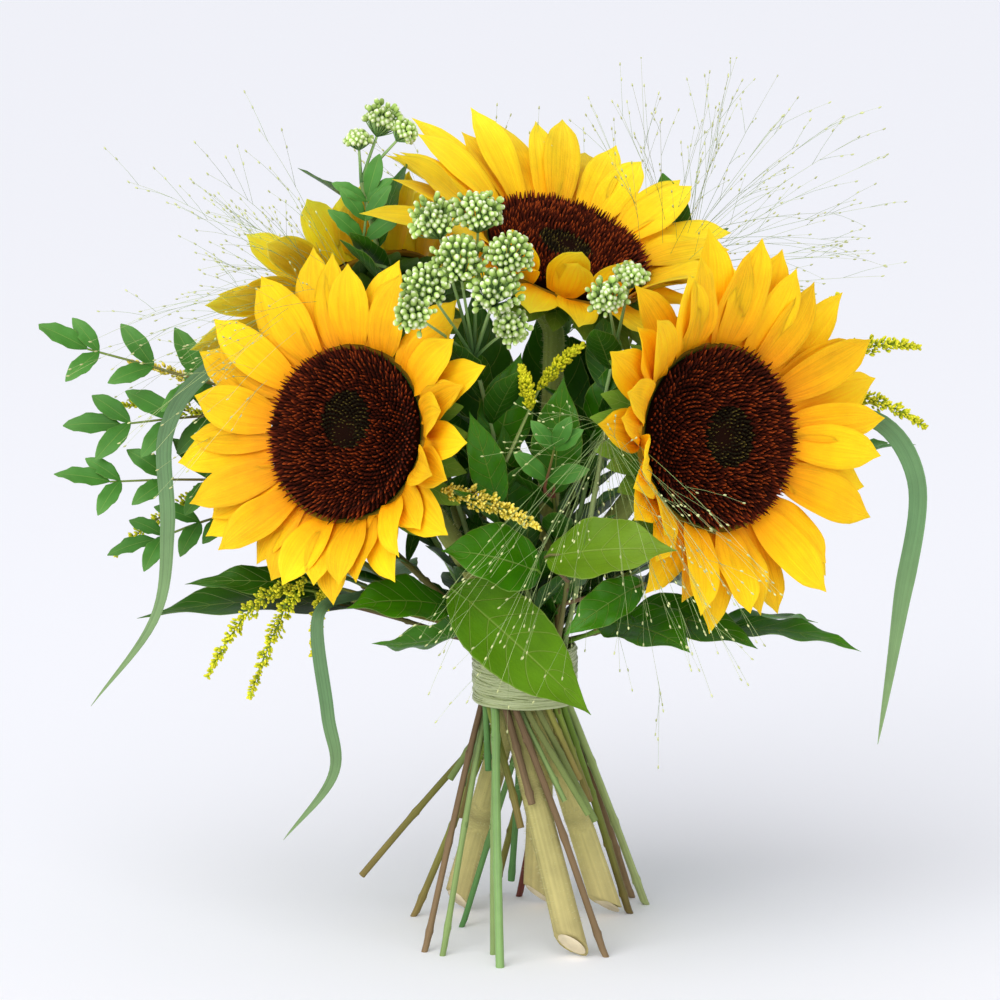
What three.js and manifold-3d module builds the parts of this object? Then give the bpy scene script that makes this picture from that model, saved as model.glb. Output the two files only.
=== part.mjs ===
// A hand-tied bunch of four sunflowers with budded filler, goldenrod, pinnate and broad foliage and
// fountain grass. The stems are laid in a spiral, bound with raffia, and flare out below the tie, so
// that the bunch stands on its cut ends. Millimetres, +Z up; +X is to the viewer's right and -Y is
// towards the viewer.
import * as THREE from "three";
import { mergeVertices } from "three/addons/utils/BufferGeometryUtils.js";
import Module from "manifold-3d";

const wasm = await Module();
wasm.setup();
const { Manifold, Mesh } = wasm;

// Driving dimensions.
const NECK_Z = 120; // height of the binding point above the surface
const TIE_HEIGHT = 22;
const TIE_INNER_R = 20.6;
const TIE_OUTER_R = 23.2;
const THICK_RING_R = 8.6; // sunflower stems at the binding point
const GROOVE_R = 14.2; // slim stems in the grooves between them
const THIN_RING_R = 18.2; // slim stems round them
const THIN_SLOTS = 23;
const SHORT_END_Z = 101; // stems that are cut short under the tie
const SUNFLOWER_STEM_D = { foot: 13.5, neck: 10, head: 9.6 };
const DISC_R = 38;
const PETAL_LENGTH = 46;
const PETAL_WIDTH = 19;
const PETALS_PER_LAYER = 13;
const BRACT_LENGTH = 30;
const BLADE_THICKNESS = 0.8;
const HAIR_R = 0.42; // fountain grass stalks
const SEED_R = 1.0;
const RING_SEGMENTS = 13; // the green ring that holds the petals
const CLEARANCE = 0.35;
const STEM_SPACE = 0.95; // between settled stems
const LEVEL = 6; // height step at which the stems are settled side by side

const UP = new THREE.Vector3(0, 0, 1);
const vec = (x, y, z) => new THREE.Vector3(x, y, z);
const rad = THREE.MathUtils.degToRad;
const polar = (r, degrees, z = 0) => vec(r * Math.cos(rad(degrees)), r * Math.sin(rad(degrees)), z);

// A repeatable draw between 0 and 1 for item b of group a.
function draw(a, b) {
  const s = Math.sin(a * 127.1 + b * 311.7) * 43758.5453;
  return s - Math.floor(s);
}
const jitter = (a, b, size) => (draw(a, b) - 0.5) * 2 * size;

// Solids from geometries and back.
function solid(geometry) {
  const bare = geometry.clone();
  bare.deleteAttribute("normal");
  bare.deleteAttribute("uv");
  const merged = mergeVertices(bare, 1e-4);
  return new Manifold(
    new Mesh({
      numProp: 3,
      vertProperties: merged.attributes.position.array,
      triVerts: new Uint32Array(merged.index.array),
    }),
  );
}

function geometryOf(made) {
  const mesh = made.getMesh();
  const positions = new Float32Array(mesh.numVert * 3);
  for (let i = 0; i < mesh.numVert; i++) {
    positions.set(mesh.vertProperties.subarray(i * mesh.numProp, i * mesh.numProp + 3), i * 3);
  }
  const geometry = new THREE.BufferGeometry();
  geometry.setAttribute("position", new THREE.BufferAttribute(positions, 3));
  geometry.setIndex(new THREE.BufferAttribute(mesh.triVerts, 1));
  geometry.computeVertexNormals();
  return geometry;
}

const fuse = (solids) => solids.reduce((whole, next) => whole.add(next));

// Turning frames carried along a line of points without twist.
function framesAlong(points) {
  const tangents = points.map((p, i) => {
    const [before, after] = [points[Math.max(0, i - 1)], points[Math.min(points.length - 1, i + 1)]];
    return after.clone().sub(before).normalize();
  });
  const aside = Math.abs(tangents[0].z) < 0.9 ? UP : vec(1, 0, 0);
  const normals = [aside.clone().cross(tangents[0]).normalize()];
  for (let i = 1; i < points.length; i++) {
    const carried = normals[i - 1].clone();
    normals.push(carried.addScaledVector(tangents[i], -carried.dot(tangents[i])).normalize());
  }
  return points.map((p, i) => ({ normal: normals[i], binormal: tangents[i].clone().cross(normals[i]) }));
}

// A closed cylinder bent along a line of points; radiusAt(t, ring, corner) sets its section.
function sweep(points, sides, radiusAt) {
  const segments = points.length - 1;
  const geometry = new THREE.CylinderGeometry(1, 1, 1, sides, segments);
  const frames = framesAlong(points);
  const position = geometry.attributes.position;
  for (let i = 0; i < position.count; i++) {
    const [x, y, z] = [position.getX(i), position.getY(i), position.getZ(i)];
    const ring = Math.round((y + 0.5) * segments);
    const corner = Math.round((Math.atan2(x, z) / (2 * Math.PI)) * sides + sides) % sides;
    const r = radiusAt(ring / segments, ring, corner);
    const { normal, binormal } = frames[ring];
    const point = points[ring].clone().addScaledVector(normal, x * r).addScaledVector(binormal, -z * r);
    position.setXYZ(i, point.x, point.y, point.z);
  }
  return solid(geometry);
}

const curveThrough = (points) => new THREE.CatmullRomCurve3(points, false, "catmullrom", 0.5);

// A bowed line from base to tip whose middle stands off by bow along the face's direction.
function bowed(base, tip, face, bow) {
  const middle = base.clone().add(tip).multiplyScalar(0.5).addScaledVector(face, 2 * bow);
  return new THREE.QuadraticBezierCurve3(base, middle, tip);
}

// The rings of a blade along a curve: place, direction, width and thickness.
function ringsOn(curve, stations, width, shapeAt) {
  return stations.map((t) => {
    const [point, along] = [curve.getPoint(t), curve.getTangent(t)];
    return { point, along, width: width * shapeAt(t), thick: BLADE_THICKNESS };
  });
}

// A thin pointed blade, split into triangles alike on both faces. Each ring has two edges and an
// underside, and a ridge between the edges unless the blade is keeled.
function blade(start, rings, end, face, { fold = 0, wave = 0, keeled = false }) {
  const positions = [];
  const put = (p) => positions.push(p.x, p.y, p.z);
  put(start);
  rings.forEach(({ point, along, width, thick }, ring) => {
    const side = along.clone().cross(face).normalize();
    const normal = side.clone().cross(along).normalize();
    const lift = (sign) => (fold * width) / 2 + (width > 8 ? wave * Math.sin(ring * 2.4 + sign) : 0);
    put(point.clone().addScaledVector(side, -width / 2).addScaledVector(normal, lift(-1)));
    put(point.clone().addScaledVector(normal, keeled ? -thick : -thick / 2));
    put(point.clone().addScaledVector(side, width / 2).addScaledVector(normal, lift(1)));
    if (!keeled) put(point.clone().addScaledVector(normal, thick / 2));
  });
  put(end);
  const index = [];
  const corners = keeled ? 3 : 4;
  const at = (ring, corner) => 1 + ring * corners + (corner % corners);
  const last = rings.length - 1;
  const tip = positions.length / 3 - 1;
  for (let corner = 0; corner < corners; corner++) {
    index.push(0, at(0, corner), at(0, corner + 1));
    index.push(at(last, corner + 1), at(last, corner), tip);
  }
  for (let ring = 0; ring < last; ring++) {
    for (let corner = 0; corner < corners; corner++) {
      const [a, b] = [at(ring, corner), at(ring, corner + 1)];
      const [a2, b2] = [at(ring + 1, corner), at(ring + 1, corner + 1)];
      if (corner % 2 === 0) index.push(a, a2, b, b, a2, b2);
      else index.push(a, b2, b, a, a2, b2);
    }
  }
  const geometry = new THREE.BufferGeometry();
  geometry.setAttribute("position", new THREE.Float32BufferAttribute(positions, 3));
  geometry.setIndex(index);
  return solid(geometry);
}

// A blade that begins as a stalk at a branch point, follows a curve and ends at its tip.
function stalkedBlade(branch, curve, stations, { width, face, shapeAt, fold, wave }) {
  const base = curve.getPoint(0);
  const along = base.clone().sub(branch).normalize();
  const stalk = (point, size) => ({ point, along, width: size, thick: size * 0.8 });
  const rings = [stalk(branch, 1.8), stalk(base, 2), ...ringsOn(curve, stations, width, shapeAt)];
  if (base.distanceTo(branch) < 3) rings.splice(1, 1);
  const start = branch.clone().addScaledVector(along, -0.8);
  return blade(start, rings, curve.getPoint(1), face, { fold, wave });
}

// Outlines as a share of the full width at each share of the length.
function petalShape(t) {
  return 0.42 + 0.58 * Math.sin(Math.PI * Math.min(1, t * 0.92 + 0.06)) ** 0.8 - 0.36 * t ** 4;
}
function ovateShape(t) {
  return Math.sin(Math.PI * t ** 0.72) ** 0.85 * Math.min(1, (1 - t) / 0.3) ** 0.5;
}
const leafletShape = (t) => Math.sin(Math.PI * t ** 0.95) ** 0.75;
const lanceShape = (t) => Math.sin(Math.PI * t ** 0.9) ** 0.8;
const strapShape = (t) => Math.min(1, 0.55 + t * 1.4) * Math.min(1, (1 - t) * 2.6) ** 0.8;

// A leaf is [base, tip, face, width, bow], in millimetres.
function leaf(branch, [base, tip, facing, width, bow = 0]) {
  const face = vec(...facing).normalize();
  const curve = bowed(vec(...base), vec(...tip), face, bow);
  const form = { width, face, shapeAt: ovateShape, fold: 0.12, wave: 0.6 };
  const stations = width > 30 ? [0.1, 0.3, 0.52, 0.72, 0.9] : [0.12, 0.36, 0.64, 0.88];
  return stalkedBlade(branch, curve, stations, form);
}

// Stems. Each runs from its foot through its place at the binding point to its top.
const slot = (number) => polar(THIN_RING_R, -152 + (360 / THIN_SLOTS) * number, NECK_Z);
const groove = (number) => polar(GROOVE_R, -120 + 90 * number, NECK_Z);
const core = (number) => polar(THICK_RING_R, -165 + 90 * number, NECK_Z);

const STEMS = {
  sunflower_back_left: {
    foot: [22, -45, 0], neck: core(0), via: [[-16, 6, 156], [-34, 16, 198]], top: [-58, 26, 246],
  },
  sunflower_left: { foot: [40, 26, 0], neck: core(1), via: [[-10, -14, 156]], top: [-48, -10, 204] },
  sunflower_top: {
    foot: [6, 44, 0], neck: core(2), via: [[9, -8, 162], [11, -6, 216]], top: [13, 12, 270],
  },
  sunflower_right: { foot: [-32, 34, 0], neck: core(3), via: [[12, 8, 156]], top: [52, 0, 204] },
  grass_left: {
    foot: null, neck: groove(0), via: [[-20, -12, 174], [-42, -4, 228]], top: [-66, 2, 282], d: 2.7,
  },
  bud_spray_front: {
    foot: null, neck: groove(1), via: [[2, -26, 168], [-10, -38, 216]], top: [-22, -46, 264],
    d: 3.4, swell: 0.5,
  },
  bud_spray_right: {
    foot: [-28, 8, 0], neck: groove(2), via: [[20, -18, 174], [30, -38, 228]], top: [38, -52, 270],
    d: 3, swell: 0.5,
  },
  grass_right: {
    foot: [-14, -36, 0], neck: groove(3), via: [[14, 22, 168], [34, 30, 222]], top: [52, 40, 276],
    d: 3, swell: 0.5,
  },
  bud_spray_top_left: {
    foot: [-6, -2, 24], neck: vec(0, 0, NECK_Z), via: [[-18, 10, 180], [-46, 2, 252], [-71, -4, 306]],
    top: [-71, -6, 336], d: 3.2,
  },
  pistacia_top_left: {
    foot: [-11, -56, 0], neck: slot(0), via: [[-30, 2, 174], [-46, -8, 240]],
    top: [-60, -16, 300], d: 4.2,
  },
  long_leaf_left: { foot: null, neck: slot(1), via: [[-32, -6, 138]], top: [-70, -12, 150], d: 3.6 },
  goldenrod_left: {
    foot: [35, -40, 0], neck: slot(2), via: [[-36, 4, 156]], top: [-106, 40, 210], d: 3.4,
  },
  pistacia_left_lower: {
    foot: null, neck: slot(3), via: [[-34, -8, 144]], top: [-112, 20, 192], d: 3.4,
  },
  pistacia_left_upper: {
    foot: null, neck: slot(4), via: [[-36, -4, 156]], top: [-116, 22, 222], d: 3.4,
  },
  goldenrod_left_low: {
    foot: null, neck: slot(5), via: [[-30, -26, 144]], top: [-82, -26, 168], d: 3.4,
  },
  broad_leaf_front_left: { foot: null, neck: slot(6), via: [], top: [-20, -34, 150], d: 3.6 },
  broad_leaf_front: { foot: [47, 30, 0], neck: slot(7), via: [], top: [-8, -40, 162], d: 3.8 },
  goldenrod_centre: {
    foot: [56, 46, 0], neck: slot(8), via: [[4, -34, 162]], top: [-16, -52, 204], d: 4,
  },
  broad_leaf_front_right: { foot: [50, 58, 0], neck: slot(9), via: [], top: [18, -46, 168], d: 3.6 },
  grass_front: { foot: null, neck: slot(10), via: [[26, -30, 174]], top: [34, -62, 240], d: 2.8 },
  pistacia_centre: {
    foot: [-2, 60, 0], neck: slot(11), via: [[24, -22, 162]], top: [12, -42, 204], d: 3.4,
  },
  broad_leaf_right: { foot: [-14, 62, 0], neck: slot(12), via: [], top: [36, -22, 144], d: 3.6 },
  broad_leaf_right_low: { foot: null, neck: slot(13), via: [[40, 4, 138]], top: [80, -4, 140], d: 3.6 },
  goldenrod_right: {
    foot: [-74, 30, 18], neck: slot(14), via: [[34, 14, 156]], top: [118, 12, 222], d: 3.4,
  },
  broad_leaf_back_right: {
    foot: [-50, 26, 0], neck: slot(15), via: [[26, 26, 138]], top: [52, 34, 150], d: 3.6,
  },
  pistacia_back: { foot: null, neck: slot(16), via: [[24, 30, 156]], top: [84, 36, 186], d: 3.4 },
  bud_spray_back_right: {
    foot: null, neck: slot(17), via: [[16, 34, 162]], top: [32, 48, 240], d: 3.2,
  },
  broad_leaf_back: { foot: null, neck: slot(18), via: [[6, 34, 138]], top: [14, 60, 156], d: 3.6 },
  grass_back: {
    foot: [-36, -38, 0], neck: slot(19), via: [[-2, 36, 168], [-6, 50, 222]], top: [-12, 66, 270], d: 3,
  },
  goldenrod_back: {
    foot: [-44, -32, 0], neck: slot(20), via: [[-10, 38, 156]], top: [-22, 84, 204], d: 3.2,
  },
  bud_spray_back: { foot: null, neck: slot(21), via: [[-26, 30, 162]], top: [-64, 72, 204], d: 3.2 },
  broad_leaf_back_left: {
    foot: null, neck: slot(22), via: [[-32, 14, 138]], top: [-62, 34, 150], d: 3.6,
  },
};

const isThick = (name) => name.startsWith("sunflower");

// Below the tie a short stem keeps turning with the spiral.
function footOf({ foot, neck }) {
  const SPIRAL = 24;
  const angle = THREE.MathUtils.radToDeg(Math.atan2(neck.y, neck.x)) + SPIRAL;
  return foot ? vec(...foot) : polar(Math.hypot(neck.x, neck.y), angle, SHORT_END_Z);
}

function stemRadius(name, z) {
  if (!isThick(name)) return STEMS[name].d / 2;
  const { foot, neck, head } = SUNFLOWER_STEM_D;
  if (z < NECK_Z) return (foot + ((neck - foot) * z) / NECK_Z) / 2;
  return (neck + ((head - neck) * (z - NECK_Z)) / 100) / 2;
}

// The stem's first course, as one point at each level between its foot and its top.
function roughCourse(name) {
  const { neck, via, top } = STEMS[name];
  const foot = footOf(STEMS[name]);
  const curve = curveThrough([foot, neck, ...via.map((p) => vec(...p)), vec(...top)]);
  const samples = curve.getPoints(160);
  const course = new Map();
  const [first, last] = [Math.round(foot.z / LEVEL), Math.round(top[2] / LEVEL)];
  for (let level = first; level <= last; level++) {
    const z = level * LEVEL;
    const nearest = samples.reduce((best, p) => (Math.abs(p.z - z) < Math.abs(best.z - z) ? p : best));
    course.set(level, vec(nearest.x, nearest.y, z));
  }
  return { name, course, first, last, neck };
}

// How much wider a leaning stem is in a level cut.
function leanFactor({ course, first, last }, level) {
  const [below, above] = [course.get(Math.max(first, level - 1)), course.get(Math.min(last, level + 1))];
  const run = Math.hypot(above.x - below.x, above.y - below.y) / Math.max(LEVEL, above.z - below.z);
  return Math.min(1.45, Math.hypot(1, run));
}

// How far a stem gives way: hardly at its ends, and a sunflower stem less than a slim one.
function givesWay({ name, first, last }, level) {
  if (level === first || level === last) return 0.05;
  return isThick(name) ? 0.35 : 1;
}

function pushApart(stems, level) {
  const here = stems.filter((s) => level >= s.first && level <= s.last);
  for (let i = 0; i < here.length; i++) {
    for (let j = i + 1; j < here.length; j++) {
      const [a, b] = [here[i], here[j]];
      const [p, q] = [a.course.get(level), b.course.get(level)];
      const z = level * LEVEL;
      const [ra, rb] = [a, b].map((s) => stemRadius(s.name, z) * leanFactor(s, level));
      const gap = Math.hypot(q.x - p.x, q.y - p.y) || 1e-6;
      const short = ra + rb + STEM_SPACE - gap;
      if (short <= 0) continue;
      const [wa, wb] = [a, b].map((s) => givesWay(s, level));
      const [dx, dy] = [(q.x - p.x) / gap, (q.y - p.y) / gap];
      p.x -= (dx * short * wa) / (wa + wb);
      p.y -= (dy * short * wa) / (wa + wb);
      q.x += (dx * short * wb) / (wa + wb);
      q.y += (dy * short * wb) / (wa + wb);
    }
  }
}

function keepInTie(stems, level) {
  const z = level * LEVEL;
  if (Math.abs(z - NECK_Z) > TIE_HEIGHT / 2 + LEVEL) return;
  for (const s of stems.filter((one) => level >= one.first && level <= one.last)) {
    const p = s.course.get(level);
    const most = TIE_INNER_R - 2 * CLEARANCE - stemRadius(s.name, z) * leanFactor(s, level);
    const r = Math.hypot(p.x, p.y);
    if (r > most) {
      p.x *= most / r;
      p.y *= most / r;
    }
  }
}

// The stems bend clear of one another, level by level, while they stay smooth.
function settleStems() {
  const stems = Object.keys(STEMS).map(roughCourse);
  const top = Math.max(...stems.map((s) => s.last));
  const ROUNDS = 260;
  const FIRM_ROUNDS = 60;
  for (let round = 0; round < ROUNDS; round++) {
    if (round < ROUNDS - FIRM_ROUNDS) {
      for (const s of stems) {
        for (let level = s.first + 1; level < s.last; level++) {
          const [p, q, r] = [level - 1, level, level + 1].map((l) => s.course.get(l));
          q.x += 0.25 * ((p.x + r.x) / 2 - q.x);
          q.y += 0.25 * ((p.y + r.y) / 2 - q.y);
        }
        const atNeck = s.course.get(NECK_Z / LEVEL);
        atNeck.x += 0.3 * (s.neck.x - atNeck.x);
        atNeck.y += 0.3 * (s.neck.y - atNeck.y);
      }
    }
    for (let level = 0; level <= top; level++) {
      pushApart(stems, level);
      keepInTie(stems, level);
    }
  }
  return Object.fromEntries(stems.map((s) => [s.name, [...s.course.values()]]));
}

const COURSES = settleStems();
const topOf = (name) => COURSES[name][COURSES[name].length - 1].clone();

// The fewest of a line's points that stay within a tolerance of it.
function thinned(points, tolerance) {
  if (points.length < 3) return points;
  const chord = new THREE.Line3(points[0], points[points.length - 1]);
  const off = points.map((p) => chord.closestPointToPoint(p, true, vec(0, 0, 0)).distanceTo(p));
  const worst = off.indexOf(Math.max(...off));
  if (off[worst] < tolerance) return [points[0], points[points.length - 1]];
  const [before, after] = [points.slice(0, worst + 1), points.slice(worst)];
  return [...thinned(before, tolerance), ...thinned(after, tolerance).slice(1)];
}

// A stem's solid along its settled course, carried on through any further points. Its swell fills the
// space to the stem that it leans on.
function stem(name, further = []) {
  const points = thinned(COURSES[name], 0.28);
  const foot = points[0];
  if (foot.z === 0) points.unshift(foot.clone().add(foot.clone().sub(points[1]).setLength(8)));
  points.push(...further);
  const swell = STEMS[name].swell ?? 0;
  return sweep(points, isThick(name) ? 8 : 4, (t, ring) => stemRadius(name, points[ring].z) + swell);
}

// Everything is cut off level where the bunch stands.
const belowSurface = solid(new THREE.BoxGeometry(400, 400, 60).translate(0, 0, -30));
const cutLevel = (made) => made.subtract(belowSurface);

// A sunflower head, made facing +Z and then turned to face along facing.
function placing({ centre, facing, size }) {
  const z = vec(...facing).normalize();
  const x = UP.clone().cross(z).normalize();
  const y = z.clone().cross(x);
  return new THREE.Matrix4().makeBasis(x, y, z).scale(vec(size, size, size)).setPosition(...centre);
}

const placed = (made, matrix) => made.transform(matrix.elements);

// Crowding: petals towards a neighbour stand up more steeply and are shorter.
function crowding(bloom, angle) {
  let [lift, shorten] = [0, 0];
  for (const { at, spread, lift: l, shorten: s } of bloom.crowd) {
    const away = ((((angle - at) % 360) + 540) % 360) - 180;
    const share = Math.exp(-((away / spread) ** 2));
    lift += l * share;
    shorten += s * share;
  }
  return { lift, shorten };
}

function petal(bloom, layer, number) {
  const key = bloom.seed + layer * 40 + number;
  const angle = ((number + layer * 0.5) * 360) / PETALS_PER_LAYER + jitter(key, 1, 3.5) + bloom.seed;
  const { lift: crowded, shorten } = crowding(bloom, angle);
  const lift = crowded * (layer === 0 ? 1 : bloom.outer);
  const lean = (layer === 0 ? 20 : 5) + jitter(key, 2, 4) + lift + bloom.cup;
  const length = PETAL_LENGTH * (1 + jitter(key, 3, 0.11)) * (1 - shorten) * (layer === 0 ? 0.94 : 1.04);
  const out = polar(1, angle);
  const root = out.clone().multiplyScalar(DISC_R + 2.6).setZ(layer === 0 ? -3 : -4.6);
  const rise = (degrees, reach) => {
    const outward = out.clone().multiplyScalar(reach * Math.cos(rad(degrees)));
    return root.clone().add(outward).addScaledVector(UP, reach * Math.sin(rad(degrees)));
  };
  const across = UP.clone().cross(out);
  const tip = rise(lean - 5 + jitter(key, 4, 5), length).addScaledVector(across, jitter(key, 5, 3.5));
  const spine = new THREE.QuadraticBezierCurve3(root, rise(lean + 9, length * 0.5), tip);
  const face = UP.clone().multiplyScalar(Math.cos(rad(lean)));
  face.addScaledVector(out, -Math.sin(rad(lean)));
  const width = PETAL_WIDTH * (1 + jitter(key, 6, 0.1));
  const rings = ringsOn(spine, [0.14, 0.5, 0.84], width, petalShape);
  return blade(root, rings, tip, face, { fold: 0.08, keeled: true });
}

function petals(bloom) {
  const inner = (DISC_R + CLEARANCE) / Math.cos(Math.PI / RING_SEGMENTS);
  const outer = inner + 3;
  const ring = turned([[inner, -6], [outer, -6], [outer, -2], [inner, -2], [inner, -6]], RING_SEGMENTS);
  const blades = [];
  for (const layer of [0, 1]) {
    for (let number = 0; number < PETALS_PER_LAYER; number++) blades.push(petal(bloom, layer, number));
  }
  return placed(fuse([solid(ring), ...blades]), placing(bloom));
}

// A profile of [radius, height] turned about the upright axis.
function turned(profile, segments) {
  const points = profile.map(([r, z]) => new THREE.Vector2(r, z));
  return new THREE.LatheGeometry(points, segments).rotateX(Math.PI / 2);
}

// The disc's florets are raised in staggered rows; the middle is sunk and its rim stands proud.
function disc(bloom) {
  const ROWS = 6;
  const SEGMENTS = 20;
  const FLORET = 1.1;
  const profile = [[0, -5], [DISC_R, -5]];
  for (let row = 0; row < ROWS; row++) {
    const share = 1 - row / ROWS;
    profile.push([DISC_R * share * (row === 0 ? 1 : 0.985), -0.5 + 5 * Math.sin(Math.PI * share) ** 0.7]);
  }
  profile.push([0, 0.5]);
  const lathe = turned(profile, SEGMENTS);
  const position = lathe.attributes.position;
  const rowLength = profile.length;
  for (let i = 0; i < position.count; i++) {
    const row = i % rowLength;
    const segment = Math.floor(i / rowLength) % SEGMENTS;
    if (row < 2 || row === rowLength - 1) continue;
    const raised = (row + segment) % 2 === 0 ? FLORET : -FLORET;
    position.setZ(i, position.getZ(i) + raised + (row === 2 ? 2 : 0));
  }
  return placed(solid(lathe), placing(bloom));
}

// The green back of a head with its pointed bracts.
function headBack(bloom) {
  const profile = [[0, -6.6], [DISC_R + 2, -6.6], [31, -13], [12, -19], [5.4, -28], [0, -28]];
  const parts = [solid(turned([...profile].reverse(), 12))];
  const BRACTS = 10;
  for (let number = 0; number < BRACTS; number++) {
    const key = bloom.seed + 200 + number;
    const angle = (number * 360) / BRACTS + jitter(key, 1, 6);
    const out = polar(1, angle);
    const lean = -12 + jitter(key, 2, 5);
    const length = BRACT_LENGTH * (1 + jitter(key, 3, 0.2));
    const root = out.clone().multiplyScalar(DISC_R - 7).setZ(-9.5);
    const reach = out.clone().multiplyScalar(length * Math.cos(rad(lean)));
    const tip = root.clone().add(reach).addScaledVector(UP, length * Math.sin(rad(lean)));
    const rings = ringsOn(bowed(root, tip, UP, 0.8), [0.2, 0.7], 13, lanceShape);
    parts.push(blade(root, rings, tip, UP, { fold: 0.1, keeled: true }));
  }
  return placed(fuse(parts), placing(bloom));
}

const BLOOMS = {
  sunflower_left: {
    centre: [-78, -45, 232], facing: [-0.5, -0.84, 0.22], size: 0.95, seed: 11, cup: 0, outer: 1,
    crowd: [
      { at: -15, spread: 55, lift: 32, shorten: 0.16 },
      { at: 62, spread: 24, lift: 0, shorten: 0.2 },
      { at: 265, spread: 38, lift: 12, shorten: 0.22 },
    ],
  },
  sunflower_right: {
    centre: [84, -45, 230], facing: [0.57, -0.81, 0.12], size: 1, seed: 23, cup: 2, outer: 1,
    crowd: [
      { at: 185, spread: 48, lift: 32, shorten: 0.12 },
      { at: 110, spread: 30, lift: 18, shorten: 0 },
      { at: 208, spread: 20, lift: 10, shorten: 0.15 },
      { at: 272, spread: 34, lift: 0, shorten: 0.12 },
    ],
  },
  sunflower_top: {
    centre: [19, 5, 308], facing: [0.31, -0.42, 0.85], size: 0.94, seed: 37, cup: 8, outer: 0.05,
    crowd: [
      { at: 246, spread: 54, lift: 48, shorten: 0.34 },
      { at: 165, spread: 45, lift: -4, shorten: -0.36 },
      { at: 100, spread: 40, lift: 0, shorten: -0.1 },
      { at: 40, spread: 50, lift: 0, shorten: -0.12 },
    ],
  },
  sunflower_back_left: {
    centre: [-74, 48, 280], facing: [-0.42, 0.6, 0.68], size: 0.88, seed: 51, cup: 6, outer: 1,
    crowd: [{ at: 122, spread: 45, lift: 30, shorten: 0.2 }],
  },
};

function sunflowerStem(name) {
  const { centre, facing } = BLOOMS[name];
  const direction = vec(...facing).normalize();
  const behind = (distance) => vec(...centre).addScaledVector(direction, -distance);
  return cutLevel(fuse([headBack(BLOOMS[name]), stem(name, [behind(36), behind(22)])]));
}

// A goldenrod plume is [base, tip, bow, radius]: florets raised in staggered rows along an arching tip.
function plume(branch, [base, tip, bow, radius = 4.4]) {
  const curve = bowed(vec(...base), vec(...tip), UP, bow);
  const rings = Math.max(5, Math.round(curve.getLength() / 6.6));
  return sweep([branch, ...curve.getSpacedPoints(rings)], 5, (share, ring, corner) => {
    if (ring < 2) return 0.9;
    const t = (ring - 1) / rings;
    const body = radius * Math.min(1, 0.3 + 2.4 * t) * (1 - 0.72 * t ** 2.2);
    return body * ((ring + corner) % 2 === 0 ? 1 : 0.52);
  });
}

// A rounded cluster is [x, y, z, radius]: buds raised in staggered rows at the end of a branch.
function budHead(branch, [x, y, z, radius]) {
  const centre = vec(x, y, z);
  const outward = centre.clone().sub(branch).normalize();
  const along = (share) => centre.clone().addScaledVector(outward, radius * share);
  const body = [0.12, 0.8, 1, 0.72];
  return sweep([branch, along(-0.8), along(-0.3), along(0.3), along(0.75)], 6, (t, ring, corner) => {
    if (ring < 2) return 0.8;
    return radius * body[ring - 1] * ((ring + corner) % 2 === 0 ? 1.06 : 0.78);
  });
}

// A divided leaf is [base, tip, face, pairs, bow, size]: pairs of leaflets along a rib and one at its end.
function pinnate(branch, [base, tip, facing, pairs, bow = 0, size = 25]) {
  const direction = vec(...facing).normalize();
  const rib = bowed(vec(...base), vec(...tip), direction, bow);
  const parts = [sweep([branch, ...rib.getPoints(4)], 3, () => 0.8)];
  const leaflet = (t, turn, reach) => {
    const at = rib.getPoint(t);
    const along = rib.getTangent(t);
    const across = along.clone().cross(direction).normalize();
    const out = along.clone().multiplyScalar(Math.cos(rad(turn)));
    out.addScaledVector(across, Math.sin(rad(turn)));
    const end = at.clone().addScaledVector(out, reach).addScaledVector(direction, reach * 0.08);
    const start = at.clone().addScaledVector(out, -0.3);
    const rings = ringsOn(bowed(start, end, direction, 1.2), [0.28, 0.72], reach * 0.38, leafletShape);
    return blade(start, rings, end, direction, { fold: 0.14, keeled: true });
  };
  for (let pair = 0; pair < pairs; pair++) {
    const t = 0.25 + (0.68 * pair) / Math.max(1, pairs - 1);
    for (const side of [-1, 1]) {
      parts.push(leaflet(t, side * (52 + jitter(pair + size, side, 8)), size * (1 - 0.12 * pair)));
    }
  }
  parts.push(leaflet(1, 0, size * 0.9));
  return fuse(parts);
}

// One grass stalk with its seed, bending over towards its end.
function hair(start, end, sag, thicker = 0) {
  const middle = start.clone().add(end).multiplyScalar(0.5).addScaledVector(UP, sag);
  const curve = new THREE.QuadraticBezierCurve3(start, middle, end);
  const points = [0, 0.5, 0.92, 1].map((t) => curve.getPoint(t));
  const radii = [HAIR_R, HAIR_R, SEED_R, HAIR_R * 0.6];
  return sweep(points, 3, (t, ring) => radii[ring] + thicker);
}

// A grass panicle: stalks fan from a rib in a turning spiral, and none crosses a neighbour.
function panicle(from, { to, fan, reach, count, sag, seed }, neighbours) {
  const rib = new THREE.LineCurve3(from, vec(...to));
  const main = vec(...fan).normalize();
  const side = main.clone().cross(UP).normalize();
  const over = side.clone().cross(main).normalize();
  const parts = [];
  for (let number = 0; number < count; number++) {
    const share = (number + 0.5) / count;
    const turn = rad(number * 137.5);
    const open = rad(12 + 44 * Math.sqrt(draw(seed, number)));
    const direction = main.clone().multiplyScalar(Math.cos(open))
      .addScaledVector(side, Math.sin(open) * Math.cos(turn))
      .addScaledVector(over, Math.sin(open) * Math.sin(turn));
    const start = rib.getPoint(share);
    const end = start.clone().addScaledVector(direction, reach * (0.6 + 0.4 * draw(seed + 1, number)));
    end.z -= sag * (0.4 + 0.6 * draw(seed + 2, number));
    const rise = sag * 0.35;
    const probe = hair(start, end, rise, CLEARANCE);
    if (neighbours.some((other) => !probe.intersect(other).isEmpty())) continue;
    parts.push(hair(start, end, rise));
  }
  return fuse(parts);
}

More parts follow.
